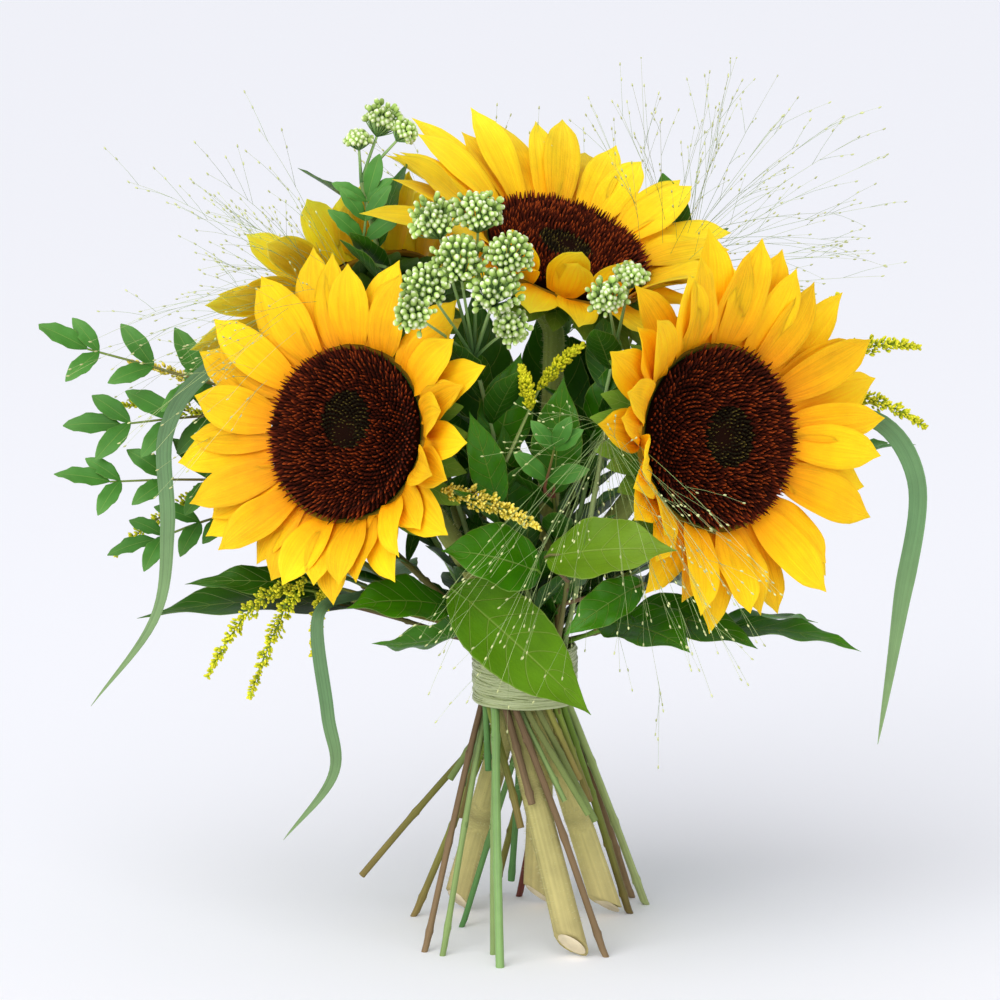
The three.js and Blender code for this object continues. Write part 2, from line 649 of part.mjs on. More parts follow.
// A strap-shaped grass blade is { points, face, width }.
function strap(branch, { points, face, width }) {
  const curve = curveThrough(points.map((p) => vec(...p)));
  const form = { width, face: vec(...face).normalize(), shapeAt: strapShape, fold: 0.16, wave: 0 };
  return stalkedBlade(branch, curve, [0.06, 0.18, 0.32, 0.46, 0.6, 0.74, 0.86, 0.95], form);
}

// The raffia is wound in several turns, so its outside is ridged and its edges run up and down.
function raffiaTie() {
  const TURNS = 4;
  const profile = [];
  const low = -TIE_HEIGHT / 2;
  profile.push([TIE_INNER_R, low], [TIE_OUTER_R - 0.9, low]);
  for (let turn = 0; turn < TURNS; turn++) {
    const z = low + (TIE_HEIGHT * (turn + 0.5)) / TURNS;
    profile.push([TIE_OUTER_R, z]);
    if (turn < TURNS - 1) profile.push([TIE_OUTER_R - 1, z + TIE_HEIGHT / TURNS / 2]);
  }
  profile.push([TIE_OUTER_R - 0.9, -low], [TIE_INNER_R, -low], [TIE_INNER_R, low]);
  const lathe = turned(profile, 16);
  const position = lathe.attributes.position;
  for (let i = 0; i < position.count; i++) {
    const angle = Math.atan2(position.getY(i), position.getX(i));
    const wound = 1.3 * Math.sin(angle - 0.6) + 0.5 * Math.sin(3 * angle);
    position.setZ(i, NECK_Z - 1 + position.getZ(i) + wound);
  }
  return solid(lathe);
}

// Leaves, plumes and heads of each sprig. Points are [x, y, z].
const LEAVES = {
  broad_leaf_front: [
    [[6, -60, 174], [-36, -74, 186], [0.1, -0.75, 0.65], 32, 4],
    [[-32, -46, 166], [28, -58, 112], [0.1, -0.95, 0.3], 35, 5],
  ],
  broad_leaf_front_right: [
    [[8, -78, 184], [62, -108, 192], [0.05, -0.8, 0.6], 29, 4],
    [[50, -60, 170], [16, -66, 148], [-0.2, -0.9, 0.4], 18, 3],
  ],
  broad_leaf_front_left: [
    [[-32, -42, 156], [-76, -66, 160], [-0.1, -0.6, 0.8], 28, 4],
    [[-22, -34, 146], [-66, -52, 142], [-0.1, 0.6, 0.8], 26, -3],
  ],
  broad_leaf_right: [
    [[36, -26, 146], [70, -62, 140], [0.2, -0.6, 0.8], 34, 4],
    [[46, -24, 150], [100, -44, 138], [0.1, -0.5, 0.85], 30, 5],
  ],
  broad_leaf_right_low: [
    [[82, -6, 138], [146, -30, 134], [0.3, -0.3, 0.9], 22, 5],
    [[80, -4, 138], [132, 26, 136], [0.2, 0.2, 0.95], 26, 4],
  ],
  long_leaf_left: [
    [[-74, -12, 150], [-170, -16, 146], [0, -0.25, 0.97], 34, 5],
    [[-84, -16, 158], [-148, -26, 163], [0, -0.6, 0.8], 18, 4],
    [[-68, -4, 150], [-130, 34, 142], [-0.2, 0.2, 0.95], 28, 5],
  ],
  broad_leaf_back_right: [
    [[54, 34, 152], [112, 44, 150], [0.2, 0, 0.98], 32, 5],
    [[50, 40, 148], [84, 88, 138], [0.2, 0.4, 0.9], 34, 5],
  ],
  broad_leaf_back: [
    [[14, 62, 154], [30, 114, 136], [0.1, 0.5, 0.86], 36, 5],
    [[10, 60, 158], [-34, 106, 150], [-0.2, 0.5, 0.86], 34, 5],
  ],
  broad_leaf_back_left: [
    [[-64, 36, 152], [-116, 70, 146], [-0.3, 0.3, 0.9], 34, 5],
    [[-60, 40, 152], [-72, 98, 148], [-0.1, 0.5, 0.87], 32, 5],
  ],
  bud_spray_front: [
    [[-8, -32, 192], [-10, -42, 236], [0.2, -0.95, -0.1], 22, 4],
    [[-12, -38, 222], [-2, -40, 266], [-0.1, -0.95, 0.2], 24, 3],
  ],
  goldenrod_centre: [[[-12, -52, 202], [-24, -64, 244], [0.1, -0.95, 0.3], 16, 3]],
  pistacia_centre: [[[12, -44, 206], [16, -56, 258], [-0.1, -0.95, 0.3], 22, 3]],
  bud_spray_right: [[[28, -38, 228], [48, -46, 268], [-0.3, -0.9, 0.2], 20, 3]],
  grass_right: [[[18, 28, 200], [8, 36, 284], [0, -1, 0.1], 34, 4]],
  bud_spray_top_left: [[[-18, 12, 196], [-22, 18, 290], [0, -1, 0.1], 38, 4]],
};

const PLUMES = {
  goldenrod_left_low: [
    [[-102, -32, 163], [-138, -42, 124], 9],
    [[-96, -34, 166], [-120, -40, 114], 5],
    [[-88, -30, 160], [-92, -38, 134], 2, 3.6],
  ],
  goldenrod_left: [
    [[-128, 44, 230], [-178, 42, 252], 4, 3.8],
    [[-122, 44, 218], [-184, 46, 232], 5, 3.8],
    [[-124, 42, 196], [-186, 36, 164], 8],
  ],
  goldenrod_centre: [
    [[-34, -62, 210], [6, -78, 196], 2, 5.4],
    [[2, -50, 244], [-2, -60, 262], 1, 3.6],
    [[6, -48, 252], [24, -50, 270], 2, 3.6],
  ],
  goldenrod_right: [
    [[134, 14, 256], [174, 12, 262], 4],
    [[134, 14, 240], [178, 12, 226], 5],
    [[122, 16, 262], [138, 20, 284], 2, 3.6],
  ],
  goldenrod_back: [
    [[-26, 94, 222], [-52, 126, 214], 7],
    [[-30, 92, 210], [-46, 122, 188], 6],
    [[-26, 86, 216], [-34, 100, 246], 2],
  ],
};

const BUDS = {
  bud_spray_front: [
    [-38, -66, 324, 11], [-20, -70, 327, 11], [-7, -78, 310, 10], [-28, -76, 307, 12],
    [-13, -80, 295, 11], [-41, -78, 297, 10], [-46, -88, 287, 8], [-7, -72, 280, 8],
  ],
  bud_spray_right: [[34, -70, 292, 9], [44, -60, 300, 7]],
  bud_spray_top_left: [[-62, -6, 362, 9], [-72, -8, 354, 5.5], [-53, -8, 357, 5.5]],
  bud_spray_back_right: [[30, 68, 282, 11], [46, 62, 270, 9], [16, 72, 266, 9], [38, 78, 258, 9]],
  bud_spray_back: [[-68, 90, 222, 9], [-54, 94, 214, 9], [-84, 80, 212, 8]],
};

const PINNATE = {
  pistacia_left_upper: [
    [[-126, 32, 238], [-194, 24, 260], [0, -0.8, 0.6], 3, 2, 26],
    [[-122, 28, 230], [-180, 26, 226], [0, -0.8, 0.6], 3, 2, 27],
  ],
  pistacia_left_lower: [
    [[-122, 24, 200], [-184, 14, 202], [0, -0.7, 0.7], 3, 2, 26],
    [[-118, 22, 188], [-164, 14, 176], [0, -0.6, 0.8], 3, 3, 24],
  ],
  pistacia_top_left: [[[-70, -16, 304], [-68, -16, 330], [0, -0.8, 0.6], 3, 2, 20]],
  pistacia_centre: [[[8, -50, 208], [12, -70, 230], [0, -0.95, 0.3], 2, 1, 20]],
  pistacia_back: [
    [[92, 44, 198], [152, 50, 210], [0.2, 0.3, 0.9], 3, 3, 26],
    [[84, 52, 192], [116, 104, 200], [0.2, 0.3, 0.9], 3, 3, 26],
  ],
};

const STRAPS = {
  grass_left: [
    {
      points: [
        [-70, 2, 280], [-110, 2, 268], [-142, 12, 250], [-158, 8, 224], [-156, -12, 186],
        [-160, -34, 150], [-188, -40, 112],
      ],
      face: [-0.3, -0.9, 0.2],
      width: 7.5,
    },
  ],
  goldenrod_left_low: [
    {
      points: [[-70, -30, 160], [-88, -60, 156], [-84, -70, 116], [-82, -66, 88], [-104, -62, 58]],
      face: [-0.2, -1, 0],
      width: 6,
    },
  ],
  goldenrod_right: [
    {
      points: [[112, 10, 216], [150, 6, 232], [172, 2, 204], [166, 0, 150], [157, 0, 86]],
      face: [0.3, -0.95, 0.1],
      width: 9,
    },
  ],
};

const PANICLES = {
  grass_left: { to: [-96, -4, 288], fan: [-0.93, -0.05, 0.36], reach: 112, count: 16, sag: 44, seed: 5 },
  grass_right: { to: [78, 50, 310], fan: [0.5, 0.08, 0.86], reach: 126, count: 14, sag: 16, seed: 6 },
  grass_front: { to: [32, -92, 236], fan: [0.02, -0.42, -0.9], reach: 112, count: 15, sag: 26, seed: 7 },
  grass_back: { to: [-14, 80, 306], fan: [-0.1, 0.6, 0.8], reach: 100, count: 8, sag: 26, seed: 8 },
};

// Where a sprig's leaves, plumes and heads branch from its stem.
function branchPoint(name, base) {
  const target = vec(...base);
  const course = COURSES[name].filter((p) => p.z > NECK_Z + TIE_HEIGHT / 2 + LEVEL);
  const near = course.filter((p) => p.z <= target.z - 0.25 * Math.hypot(p.x - target.x, p.y - target.y));
  const options = near.length ? near : [topOf(name)];
  return options.reduce((best, p) => (p.distanceTo(target) < best.distanceTo(target) ? p : best));
}

function sprig(name) {
  const parts = [stem(name, PANICLES[name] ? [vec(...PANICLES[name].to)] : [])];
  for (const shape of LEAVES[name] ?? []) parts.push(leaf(branchPoint(name, shape[0]), shape));
  for (const shape of PLUMES[name] ?? []) parts.push(plume(branchPoint(name, shape[0]), shape));
  for (const shape of BUDS[name] ?? []) parts.push(budHead(topOf(name), shape));
  for (const shape of PINNATE[name] ?? []) parts.push(pinnate(branchPoint(name, shape[0]), shape));
  for (const shape of STRAPS[name] ?? []) parts.push(strap(branchPoint(name, shape.points[0]), shape));
  return fuse(parts);
}

const finish = (color, roughness) => new THREE.MeshStandardMaterial({ color, roughness, metalness: 0 });
const FINISHES = {
  petal: finish(0xfdb515, 0.5),
  disc: finish(0x3a160d, 0.85),
  sunflower_stem: finish(0xa7a85e, 0.7),
  raffia: finish(0xa9b37e, 0.7),
  bud: finish(0xa9c77c, 0.7),
  goldenrod: finish(0xb9a91f, 0.8),
  pinnate_leaf: finish(0x3f7f2f, 0.5),
  broad_leaf: finish(0x2f6b22, 0.4),
  grass: finish(0x6c9a55, 0.6),
};

function finishOf(name) {
  const kinds = { bud: "bud", goldenrod: "goldenrod", pistacia: "pinnate_leaf", grass: "grass" };
  return FINISHES[kinds[name.split("_")[0]] ?? "broad_leaf"];
}

function build() {
  const made = new Map();
  const add = (name, body, material) => made.set(name, { body, material });
  for (const [name, bloom] of Object.entries(BLOOMS)) {
    add(name + "_petals", petals(bloom), FINISHES.petal);
    add(name + "_disc", disc(bloom), FINISHES.disc);
    add(name + "_stem", sunflowerStem(name), FINISHES.sunflower_stem);
  }
  add("raffia_tie", raffiaTie(), FINISHES.raffia);
  const sprigs = Object.keys(STEMS).filter((name) => !isThick(name));
  const base = new Map(sprigs.map((name) => [name, sprig(name)]));
  for (const name of sprigs) {
    let body = base.get(name);
    if (PANICLES[name]) {
      const others = [...made.values()].map((m) => m.body);
      const unmade = sprigs.filter((other) => other !== name && !made.has(other));
      const rest = unmade.map((other) => base.get(other));
      body = body.add(panicle(topOf(name), PANICLES[name], [...others, ...rest]));
    }
    add(name, cutLevel(body), finishOf(name));
  }
  const bunch = new THREE.Group();
  for (const [name, { body, material }] of made) {
    const mesh = new THREE.Mesh(geometryOf(body), material);
    mesh.name = name;
    bunch.add(mesh);
  }
  // The origin is under the middle of the bunch's box, on the surface that it stands on.
  const box = new THREE.Box3().setFromObject(bunch);
  const middle = box.getCenter(vec(0, 0, 0));
  bunch.position.set(-middle.x, -middle.y, -box.min.z);
  return bunch;
}

export default build();
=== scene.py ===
"""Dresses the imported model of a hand-tied bunch of sunflowers, at the photograph's viewing angle."""
import logging
import math
from dataclasses import dataclass, field
from enum import Enum
from typing import Callable, Dict, List, Mapping, Optional, Sequence, Tuple

import bmesh
import bpy
import numpy as np
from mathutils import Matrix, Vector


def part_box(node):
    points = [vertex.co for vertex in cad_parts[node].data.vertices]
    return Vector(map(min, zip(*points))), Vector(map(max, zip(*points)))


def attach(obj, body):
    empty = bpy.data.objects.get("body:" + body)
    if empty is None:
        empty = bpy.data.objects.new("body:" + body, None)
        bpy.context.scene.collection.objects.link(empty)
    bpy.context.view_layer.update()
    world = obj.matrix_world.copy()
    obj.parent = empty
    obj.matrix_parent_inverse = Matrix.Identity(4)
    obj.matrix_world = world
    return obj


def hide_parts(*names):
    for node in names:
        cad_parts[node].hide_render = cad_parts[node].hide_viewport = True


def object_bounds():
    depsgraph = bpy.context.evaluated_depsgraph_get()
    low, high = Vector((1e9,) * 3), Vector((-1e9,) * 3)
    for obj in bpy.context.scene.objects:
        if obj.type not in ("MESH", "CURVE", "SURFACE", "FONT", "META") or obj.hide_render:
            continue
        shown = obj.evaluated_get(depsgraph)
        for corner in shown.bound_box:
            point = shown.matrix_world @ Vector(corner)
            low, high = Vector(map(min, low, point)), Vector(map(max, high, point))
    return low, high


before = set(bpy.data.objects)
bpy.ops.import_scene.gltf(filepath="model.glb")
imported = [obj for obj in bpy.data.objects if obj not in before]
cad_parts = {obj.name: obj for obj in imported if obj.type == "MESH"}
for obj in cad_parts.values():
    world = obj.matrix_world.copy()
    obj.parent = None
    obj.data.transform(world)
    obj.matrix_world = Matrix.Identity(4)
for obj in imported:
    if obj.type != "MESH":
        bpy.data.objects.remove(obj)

LOG = logging.getLogger("bunch")
CAD_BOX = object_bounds()
MM = 0.001
Point = Tuple[float, float, float]
Array = np.ndarray
Socket = bpy.types.NodeSocket
UP = np.array([0.0, 0.0, 1.0])

# Sizes in millimetres, with x and y from the stems' axis and z from the floor.
NECK_Z = 120.0
TIE_HEIGHT = 22.0
TIE_INNER_R = 20.6
THICK_RING_R = 8.6
GROOVE_R = 14.2
THIN_RING_R = 18.2
THIN_SLOTS = 23
SHORT_END_Z = 101.0
STEM_FOOT_D, STEM_NECK_D, STEM_HEAD_D = 13.5, 10.0, 9.6
CUT_REACH = 30.0
DISC_R = 38.0
DISC_DEPTH = 4.6
PETAL_LENGTH = 46.0
PETAL_WIDTH = 19.0
PETALS_PER_LAYER = 13
BRACT_LENGTH = 30.0
CLEARANCE = 0.35
STEM_SPACE = 0.95
BOX_MARGIN = 1.0
# The height of a level cut, at which stems are kept apart.
LEVEL = 6
# Stretches along a sunflower's stem, and along a sprig's.
STALK_RINGS = 110
SLIM_RINGS = 80
# The turn in degrees from one leaf or floret to the next.
LEAF_TURN = 137.5
FLORET_TURN = 137.50776


def array(values: Sequence[float]) -> Array:
    """The values as a numpy vector."""
    return np.array(values, dtype=float)


def unit(vector: Array) -> Array:
    """The vector, or each row of it, at length one."""
    return vector / np.maximum(np.linalg.norm(vector, axis=-1, keepdims=True), 1e-12)


def polar(radius: float, degrees: float, z: float = 0.0) -> Array:
    """A point at a radius and an angle about the upright axis."""
    return array((radius * math.cos(math.radians(degrees)), radius * math.sin(math.radians(degrees)), z))


def draw(group: float, item: float) -> float:
    """A repeatable draw between 0 and 1 for an item of a group."""
    s = math.sin(group * 127.1 + item * 311.7) * 43758.5453
    return s - math.floor(s)


def jitter(group: float, item: float, size: float) -> float:
    """A repeatable draw between minus and plus size."""
    return (draw(group, item) - 0.5) * 2 * size


def hexed(code: str) -> Tuple[float, float, float, float]:
    """A linear colour from its sRGB hexadecimal code."""
    parts = [int(code[i:i + 2], 16) / 255 for i in (0, 2, 4)]
    return tuple([c / 12.92 if c <= 0.04045 else ((c + 0.055) / 1.055) ** 2.4 for c in parts] + [1.0])


# The finishes.

class Pattern(Enum):
    """How a finish's colour runs over its pieces."""

    LENGTHWISE = "lengthwise"
    RIBBED = "ribbed"
    VEINED = "veined"
    MOTTLED = "mottled"


@dataclass(frozen=True)
class Finish:
    """One plant surface: three colours from base to tip, and how it shines."""

    name: str
    slot: str
    base: str
    middle: str
    tip: str
    pattern: Pattern = Pattern.LENGTHWISE
    streaks: float = 0.35
    pairs: float = 9.0
    grain_scale: float = 900.0
    bump: float = 0.25
    roughness: float = 0.55
    sheen: float = 0.0
    subsurface: float = 0.0
    specular: float = 0.5

    def material(self) -> bpy.types.Material:
        """Builds the finish as a node material.

        Returns:
            The material, made once and kept under its name.
        """
        made = bpy.data.materials.get(self.name)
        if made:
            return made
        made = bpy.data.materials.new(self.name)
        made.use_nodes = True
        tree = made.node_tree
        shader = tree.nodes["Principled BSDF"]
        shader.inputs["Specular IOR Level"].default_value = self.specular
        shader.inputs["Sheen Weight"].default_value = self.sheen
        shader.inputs["Subsurface Weight"].default_value = self.subsurface
        shader.inputs["Subsurface Radius"].default_value = (1.0, 0.7, 0.3)
        shader.inputs["Subsurface Scale"].default_value = 0.002
        surface = tree.nodes.new("ShaderNodeGroup")
        surface.node_tree = surface_group()
        surface.inputs["Base"].default_value = hexed(self.base)
        surface.inputs["Middle"].default_value = hexed(self.middle)
        surface.inputs["Tip"].default_value = hexed(self.tip)
        surface.inputs["Streaks"].default_value = self.streaks
        ribbed = self.pattern in (Pattern.VEINED, Pattern.RIBBED)
        surface.inputs["Veins"].default_value = 1.0 if ribbed else 0.0
        surface.inputs["Side Veins"].default_value = 1.0 if self.pattern is Pattern.VEINED else 0.0
        surface.inputs["Mottle"].default_value = 1.0 if self.pattern is Pattern.MOTTLED else 0.35
        surface.inputs["Vein Pairs"].default_value = self.pairs
        surface.inputs["Grain Scale"].default_value = self.grain_scale
        surface.inputs["Roughness"].default_value = self.roughness
        bump = tree.nodes.new("ShaderNodeBump")
        bump.inputs["Strength"].default_value = self.bump
        bump.inputs["Distance"].default_value = 0.0006
        tree.links.new(surface.outputs["Color"], shader.inputs["Base Color"])
        tree.links.new(surface.outputs["Roughness"], shader.inputs["Roughness"])
        tree.links.new(surface.outputs["Height"], bump.inputs["Height"])
        tree.links.new(bump.outputs["Normal"], shader.inputs["Normal"])
        return made


PETAL_FACE = Finish(
    "petal_face", "petal", "f89404", "ffba0e", "ffc61a", streaks=0.45, bump=0.6, roughness=0.6,
    subsurface=0.45, specular=0.12)
PETAL_LEMON = Finish(
    "petal_lemon", "petal", "fcae0a", "ffcc1c", "ffda30", streaks=0.45, bump=0.6, roughness=0.6,
    subsurface=0.45, specular=0.12)
# A paler copy of the petal colours for the back-left bloom: painted light, standing in for light shining
# through its shaded petals.
PETAL_PAINTED_GLOW = Finish(
    "petal_painted_glow", "petal", "ffbc10", "ffd228", "ffe04a", streaks=0.35, bump=0.6, roughness=0.6,
    subsurface=0.8, specular=0.12)
PETAL_RING = Finish("petal_ring", "petal", "7a5a10", "8a6a14", "9a7a18", roughness=0.8, specular=0.1)
DISC_RIM = Finish(
    "disc_rim", "seed_disc", "200904", "561c09", "a04618", Pattern.MOTTLED, roughness=0.85,
    specular=0.1)
DISC_MIDDLE = Finish(
    "disc_middle", "seed_disc", "14100a", "2e2610", "6c5e26", Pattern.MOTTLED, roughness=0.85,
    specular=0.1)
DISC_BED = Finish(
    "disc_bed", "seed_disc", "120603", "180803", "1e0a04", Pattern.MOTTLED, roughness=0.9, specular=0.05)
SUNFLOWER_STALK = Finish(
    "sunflower_stalk", "sunflower_green", "c2b478", "bcb86e", "86a048", streaks=0.5, roughness=0.75,
    bump=0.5, grain_scale=1100.0, specular=0.2)
CUT_PITH = Finish(
    "cut_pith", "sunflower_green", "cdbb94", "ddcfae", "e6dcc0", Pattern.MOTTLED, roughness=0.8,
    specular=0.1)
BRACT = Finish(
    "bract", "sunflower_green", "47741a", "4c7a1c", "749a30", Pattern.VEINED, streaks=0.3, pairs=6.0,
    roughness=0.6, specular=0.15)
HEAD_BACK = Finish(
    "head_back", "sunflower_green", "8c9c50", "5f8430", "4a741e", streaks=0.6, roughness=0.7, bump=0.5,
    specular=0.15)
FUZZ = Finish("fuzz", "sunflower_green", "c2c48c", "d2d2a4", "e2e0c0", roughness=0.8, specular=0.1)
RAFFIA = Finish(
    "raffia", "raffia", "8c9856", "b0ba78", "d2d6a4", streaks=1.3, grain_scale=1400.0, bump=0.8,
    roughness=0.6, sheen=0.1, specular=0.2)
BUD_WHITE = Finish(
    "bud_white", "bud_green", "8cb052", "b0ca6c", "fbfae4", Pattern.MOTTLED, roughness=0.65,
    specular=0.15)
BUD_STALK = Finish("bud_stalk", "bud_green", "507c44", "84a862", "a2c07a", roughness=0.65, specular=0.15)
GOLD_FLORET = Finish(
    "gold_floret", "goldenrod", "88a022", "b8c02a", "e8dc38", Pattern.MOTTLED, roughness=0.8, specular=0.1)
GOLD_ORANGE = Finish(
    "gold_orange", "goldenrod", "a8a424", "e0c83c", "f8e878", Pattern.MOTTLED, roughness=0.8, specular=0.1)
GOLD_YELLOW = Finish(
    "gold_yellow", "goldenrod", "94ac20", "ccd020", "f0e838", Pattern.MOTTLED, roughness=0.8, specular=0.1)
GOLD_STALK = Finish(
    "gold_stalk", "goldenrod", "8a7a44", "6f8430", "7a8f30", streaks=0.7, roughness=0.7, specular=0.2)
LEAFLET = Finish(
    "leaflet", "leaflet_green", "386b20", "437a2c", "56883c", Pattern.RIBBED, streaks=0.3,
    roughness=0.45, bump=0.3, specular=0.18)
RED_STALK = Finish(
    "red_stalk", "leaflet_green", "7a4238", "7a5238", "6c7a34", streaks=0.7, roughness=0.6, specular=0.2)
RUSSET_STALK = Finish(
    "russet_stalk", "leaflet_green", "7c9050", "74683c", "6f8a3c", streaks=0.7, roughness=0.6, specular=0.2)
GREEN_STALK = Finish(
    "green_stalk", "leaflet_green", "7a9c5c", "688c48", "6c8c48", streaks=0.7, roughness=0.4, specular=0.3)
PALE_STALK = Finish(
    "pale_stalk", "goldenrod", "a8b476", "94a860", "80984a", streaks=0.7, roughness=0.5, specular=0.2)
BROAD_LEAF = Finish(
    "broad_leaf", "leaf_green", "2c6600", "346e02", "407a0a", Pattern.VEINED, streaks=0.2, pairs=7.0,
    roughness=0.36, bump=0.6, specular=0.2)
# A lighter copy of the broad leaf colours for the front leaf: painted light, standing in for light shining
# through that leaf.
PAINTED_LIT_LEAF = Finish(
    "painted_lit_leaf", "leaf_green", "4e8206", "5a8a0a", "689416", Pattern.VEINED, streaks=0.2, pairs=7.5,
    roughness=0.5, bump=0.6, specular=0.1)
OLIVE_LEAF = Finish(
    "olive_leaf", "leaf_green", "547c0e", "648618", "749226", Pattern.VEINED, streaks=0.2, pairs=7.0,
    roughness=0.45, bump=0.6, specular=0.15)
DARK_LEAF = Finish(
    "dark_leaf", "leaf_green", "204e06", "285808", "386a12", Pattern.VEINED, streaks=0.2, pairs=9.0,
    roughness=0.36, bump=0.5, specular=0.2)
LEAF_STALK = Finish(
    "leaf_stalk", "leaf_green", "7c6a3c", "6f8a30", "5f8a28", streaks=0.7, roughness=0.6, specular=0.2)
BROWN_STALK = Finish(
    "brown_stalk", "leaf_green", "806a4c", "6a543c", "6a6c38", streaks=0.7, roughness=0.65, specular=0.2)
GRASS = Finish(
    "grass", "grass_green", "768c52", "8ca264", "b2bc80", streaks=0.8, roughness=0.55, bump=0.4,
    specular=0.2)
GRASS_SEED = Finish(
    "grass_seed", "grass_green", "a4b068", "c0c88c", "d4d09c", roughness=0.7, specular=0.2)
BLADE_GREY = Finish(
    "blade_grey", "grass_green", "4c6c44", "5a7c50", "7c9662", streaks=0.9, roughness=0.5, bump=0.4,
    specular=0.25)


@dataclass(frozen=True)
class Wiring:
    """Adds wired nodes to one node tree."""

    tree: bpy.types.NodeTree

    def node(self, kind: str, links: Dict[int, object], **settings: object) -> bpy.types.Node:
        """Adds a node, sets it up and wires it.

        Args:
            kind: The node's type.
            links: Input number to a socket or a plain value.
            settings: Attributes of the node.

        Returns:
            The new node.
        """
        node = self.tree.nodes.new(kind)
        for key, value in settings.items():
            setattr(node, key, value)
        for number, value in links.items():
            if isinstance(value, Socket):
                self.tree.links.new(value, node.inputs[number])
            else:
                node.inputs[number].default_value = value
        return node

    def maths(self, operation: str, a: object, b: object = 0.0, clamp: bool = False) -> Socket:
        """One arithmetic node's value."""
        return self.node("ShaderNodeMath", {0: a, 1: b}, operation=operation, use_clamp=clamp).outputs[0]

    def blend(self, share: object, a: object, b: object) -> Socket:
        """One colour mix node's result."""
        return self.node("ShaderNodeMix", {0: share, 6: a, 7: b}, data_type="RGBA").outputs[2]

    def veins(self, across: Socket, along: Socket, given: Mapping[str, Socket]) -> Socket:
        """Where a midrib, the side veins that slant from it and the leaf's edge are.

        Args:
            across: The place across the leaf, from -1 to 1.
            along: The place along the leaf, from 0 to 1.
            given: The group's inputs.

        Returns:
            1 on a vein, 0 off it.
        """
        maths = self.maths
        spread = maths("ABSOLUTE", across)
        slant = maths("SUBTRACT", along, maths("MULTIPLY", maths("POWER", spread, 1.3), 0.2))
        turns = maths("MULTIPLY", maths("MULTIPLY", slant, given["Vein Pairs"]), math.pi)
        side_vein = maths("MULTIPLY", maths("ABSOLUTE", maths("SINE", turns)), 7.0, True)
        side_vein = maths("MAXIMUM", side_vein, maths("SUBTRACT", 1.0, given["Side Veins"]))
        midrib = maths("MULTIPLY", spread, 24.0, True)
        edge = maths("MULTIPLY", maths("SUBTRACT", 1.0, spread), 22.0, True)
        bare = maths("MULTIPLY", maths("MULTIPLY", side_vein, midrib), edge)
        return maths("MULTIPLY", given["Veins"], maths("SUBTRACT", 1.0, bare), True)

    def streaks(self, across: Socket, along: Socket, tone: Socket) -> Socket:
        """Fine lines that follow a piece's length, and differ from one piece to the next.

        Args:
            across: The place across the piece.
            along: The place along the piece.
            tone: The piece's own tone.

        Returns:
            The lines' strength, about a half.
        """
        scatter = self.maths("MULTIPLY", tone, 37.0)
        place = self.node(
            "ShaderNodeCombineXYZ", {0: self.maths("MULTIPLY", across, 7.0), 1: along, 2: scatter})
        return self.node("ShaderNodeTexNoise", {0: place.outputs[0], 2: 1.6, 3: 3.0}).outputs[0]


def surface_group() -> bpy.types.NodeTree:
    """The shared plant surface: colour from base to tip, streaks, veins, mottling and grain.

    Returns:
        The node group, made once.
    """
    made = bpy.data.node_groups.get("plant_surface")
    if made:
        return made
    made = bpy.data.node_groups.new("plant_surface", "ShaderNodeTree")
    for name in ("Base", "Middle", "Tip"):
        made.interface.new_socket(name, in_out="INPUT", socket_type="NodeSocketColor")
    for name in ("Streaks", "Veins", "Side Veins", "Vein Pairs", "Mottle", "Grain Scale", "Roughness"):
        made.interface.new_socket(name, in_out="INPUT", socket_type="NodeSocketFloat")
    made.interface.new_socket("Color", in_out="OUTPUT", socket_type="NodeSocketColor")
    for name in ("Roughness", "Height"):
        made.interface.new_socket(name, in_out="OUTPUT", socket_type="NodeSocketFloat")
    given = made.nodes.new("NodeGroupInput").outputs
    make = Wiring(made)
    maths = make.maths
    form = make.node("ShaderNodeAttribute", {}, attribute_name="form").outputs["Vector"]
    across, along, tone = make.node("ShaderNodeSeparateXYZ", {0: form}).outputs
    lower = maths("MULTIPLY", along, 2.0, True)
    upper = maths("SUBTRACT", maths("MULTIPLY", along, 2.0), 1.0, True)
    color = make.blend(upper, make.blend(lower, given["Base"], given["Middle"]), given["Tip"])
    streak = make.streaks(across, along, tone)
    vein = make.veins(across, along, given)
    place = make.node("ShaderNodeTexCoord", {}).outputs["Object"]
    grain = make.node("ShaderNodeTexNoise", {0: place, 2: given["Grain Scale"], 3: 2.0}).outputs[0]
    patch = make.node("ShaderNodeTexNoise", {0: place, 2: 90.0, 3: 3.0}).outputs[0]
    blotch = maths("MULTIPLY", maths("SUBTRACT", patch, 0.5), given["Mottle"])
    shade = maths("ADD", maths("MULTIPLY", maths("SUBTRACT", streak, 0.5), given["Streaks"]), blotch)
    shade = maths("ADD", shade, maths("MULTIPLY", maths("SUBTRACT", tone, 0.5), 0.32))
    value = maths("ADD", maths("MULTIPLY", shade, 1.25), 1.0)
    toned = make.node("ShaderNodeHueSaturation", {2: value, 4: color}).outputs[0]
    lit = make.blend(maths("MULTIPLY", vein, 0.38), toned, (0.36, 0.46, 0.1, 1.0))
    height = maths("ADD", maths("MULTIPLY", streak, given["Streaks"]), maths("MULTIPLY", grain, 0.3))
    height = maths("SUBTRACT", height, maths("MULTIPLY", vein, 0.9))
    rough = maths("ADD", given["Roughness"], maths("MULTIPLY", maths("SUBTRACT", grain, 0.5), 0.25), True)
    out = made.nodes.new("NodeGroupOutput")
    made.links.new(lit, out.inputs["Color"])
    made.links.new(rough, out.inputs["Roughness"])
    made.links.new(height, out.inputs["Height"])
    return made


# Templates from mesh operators, and pieces made of bent copies of them.

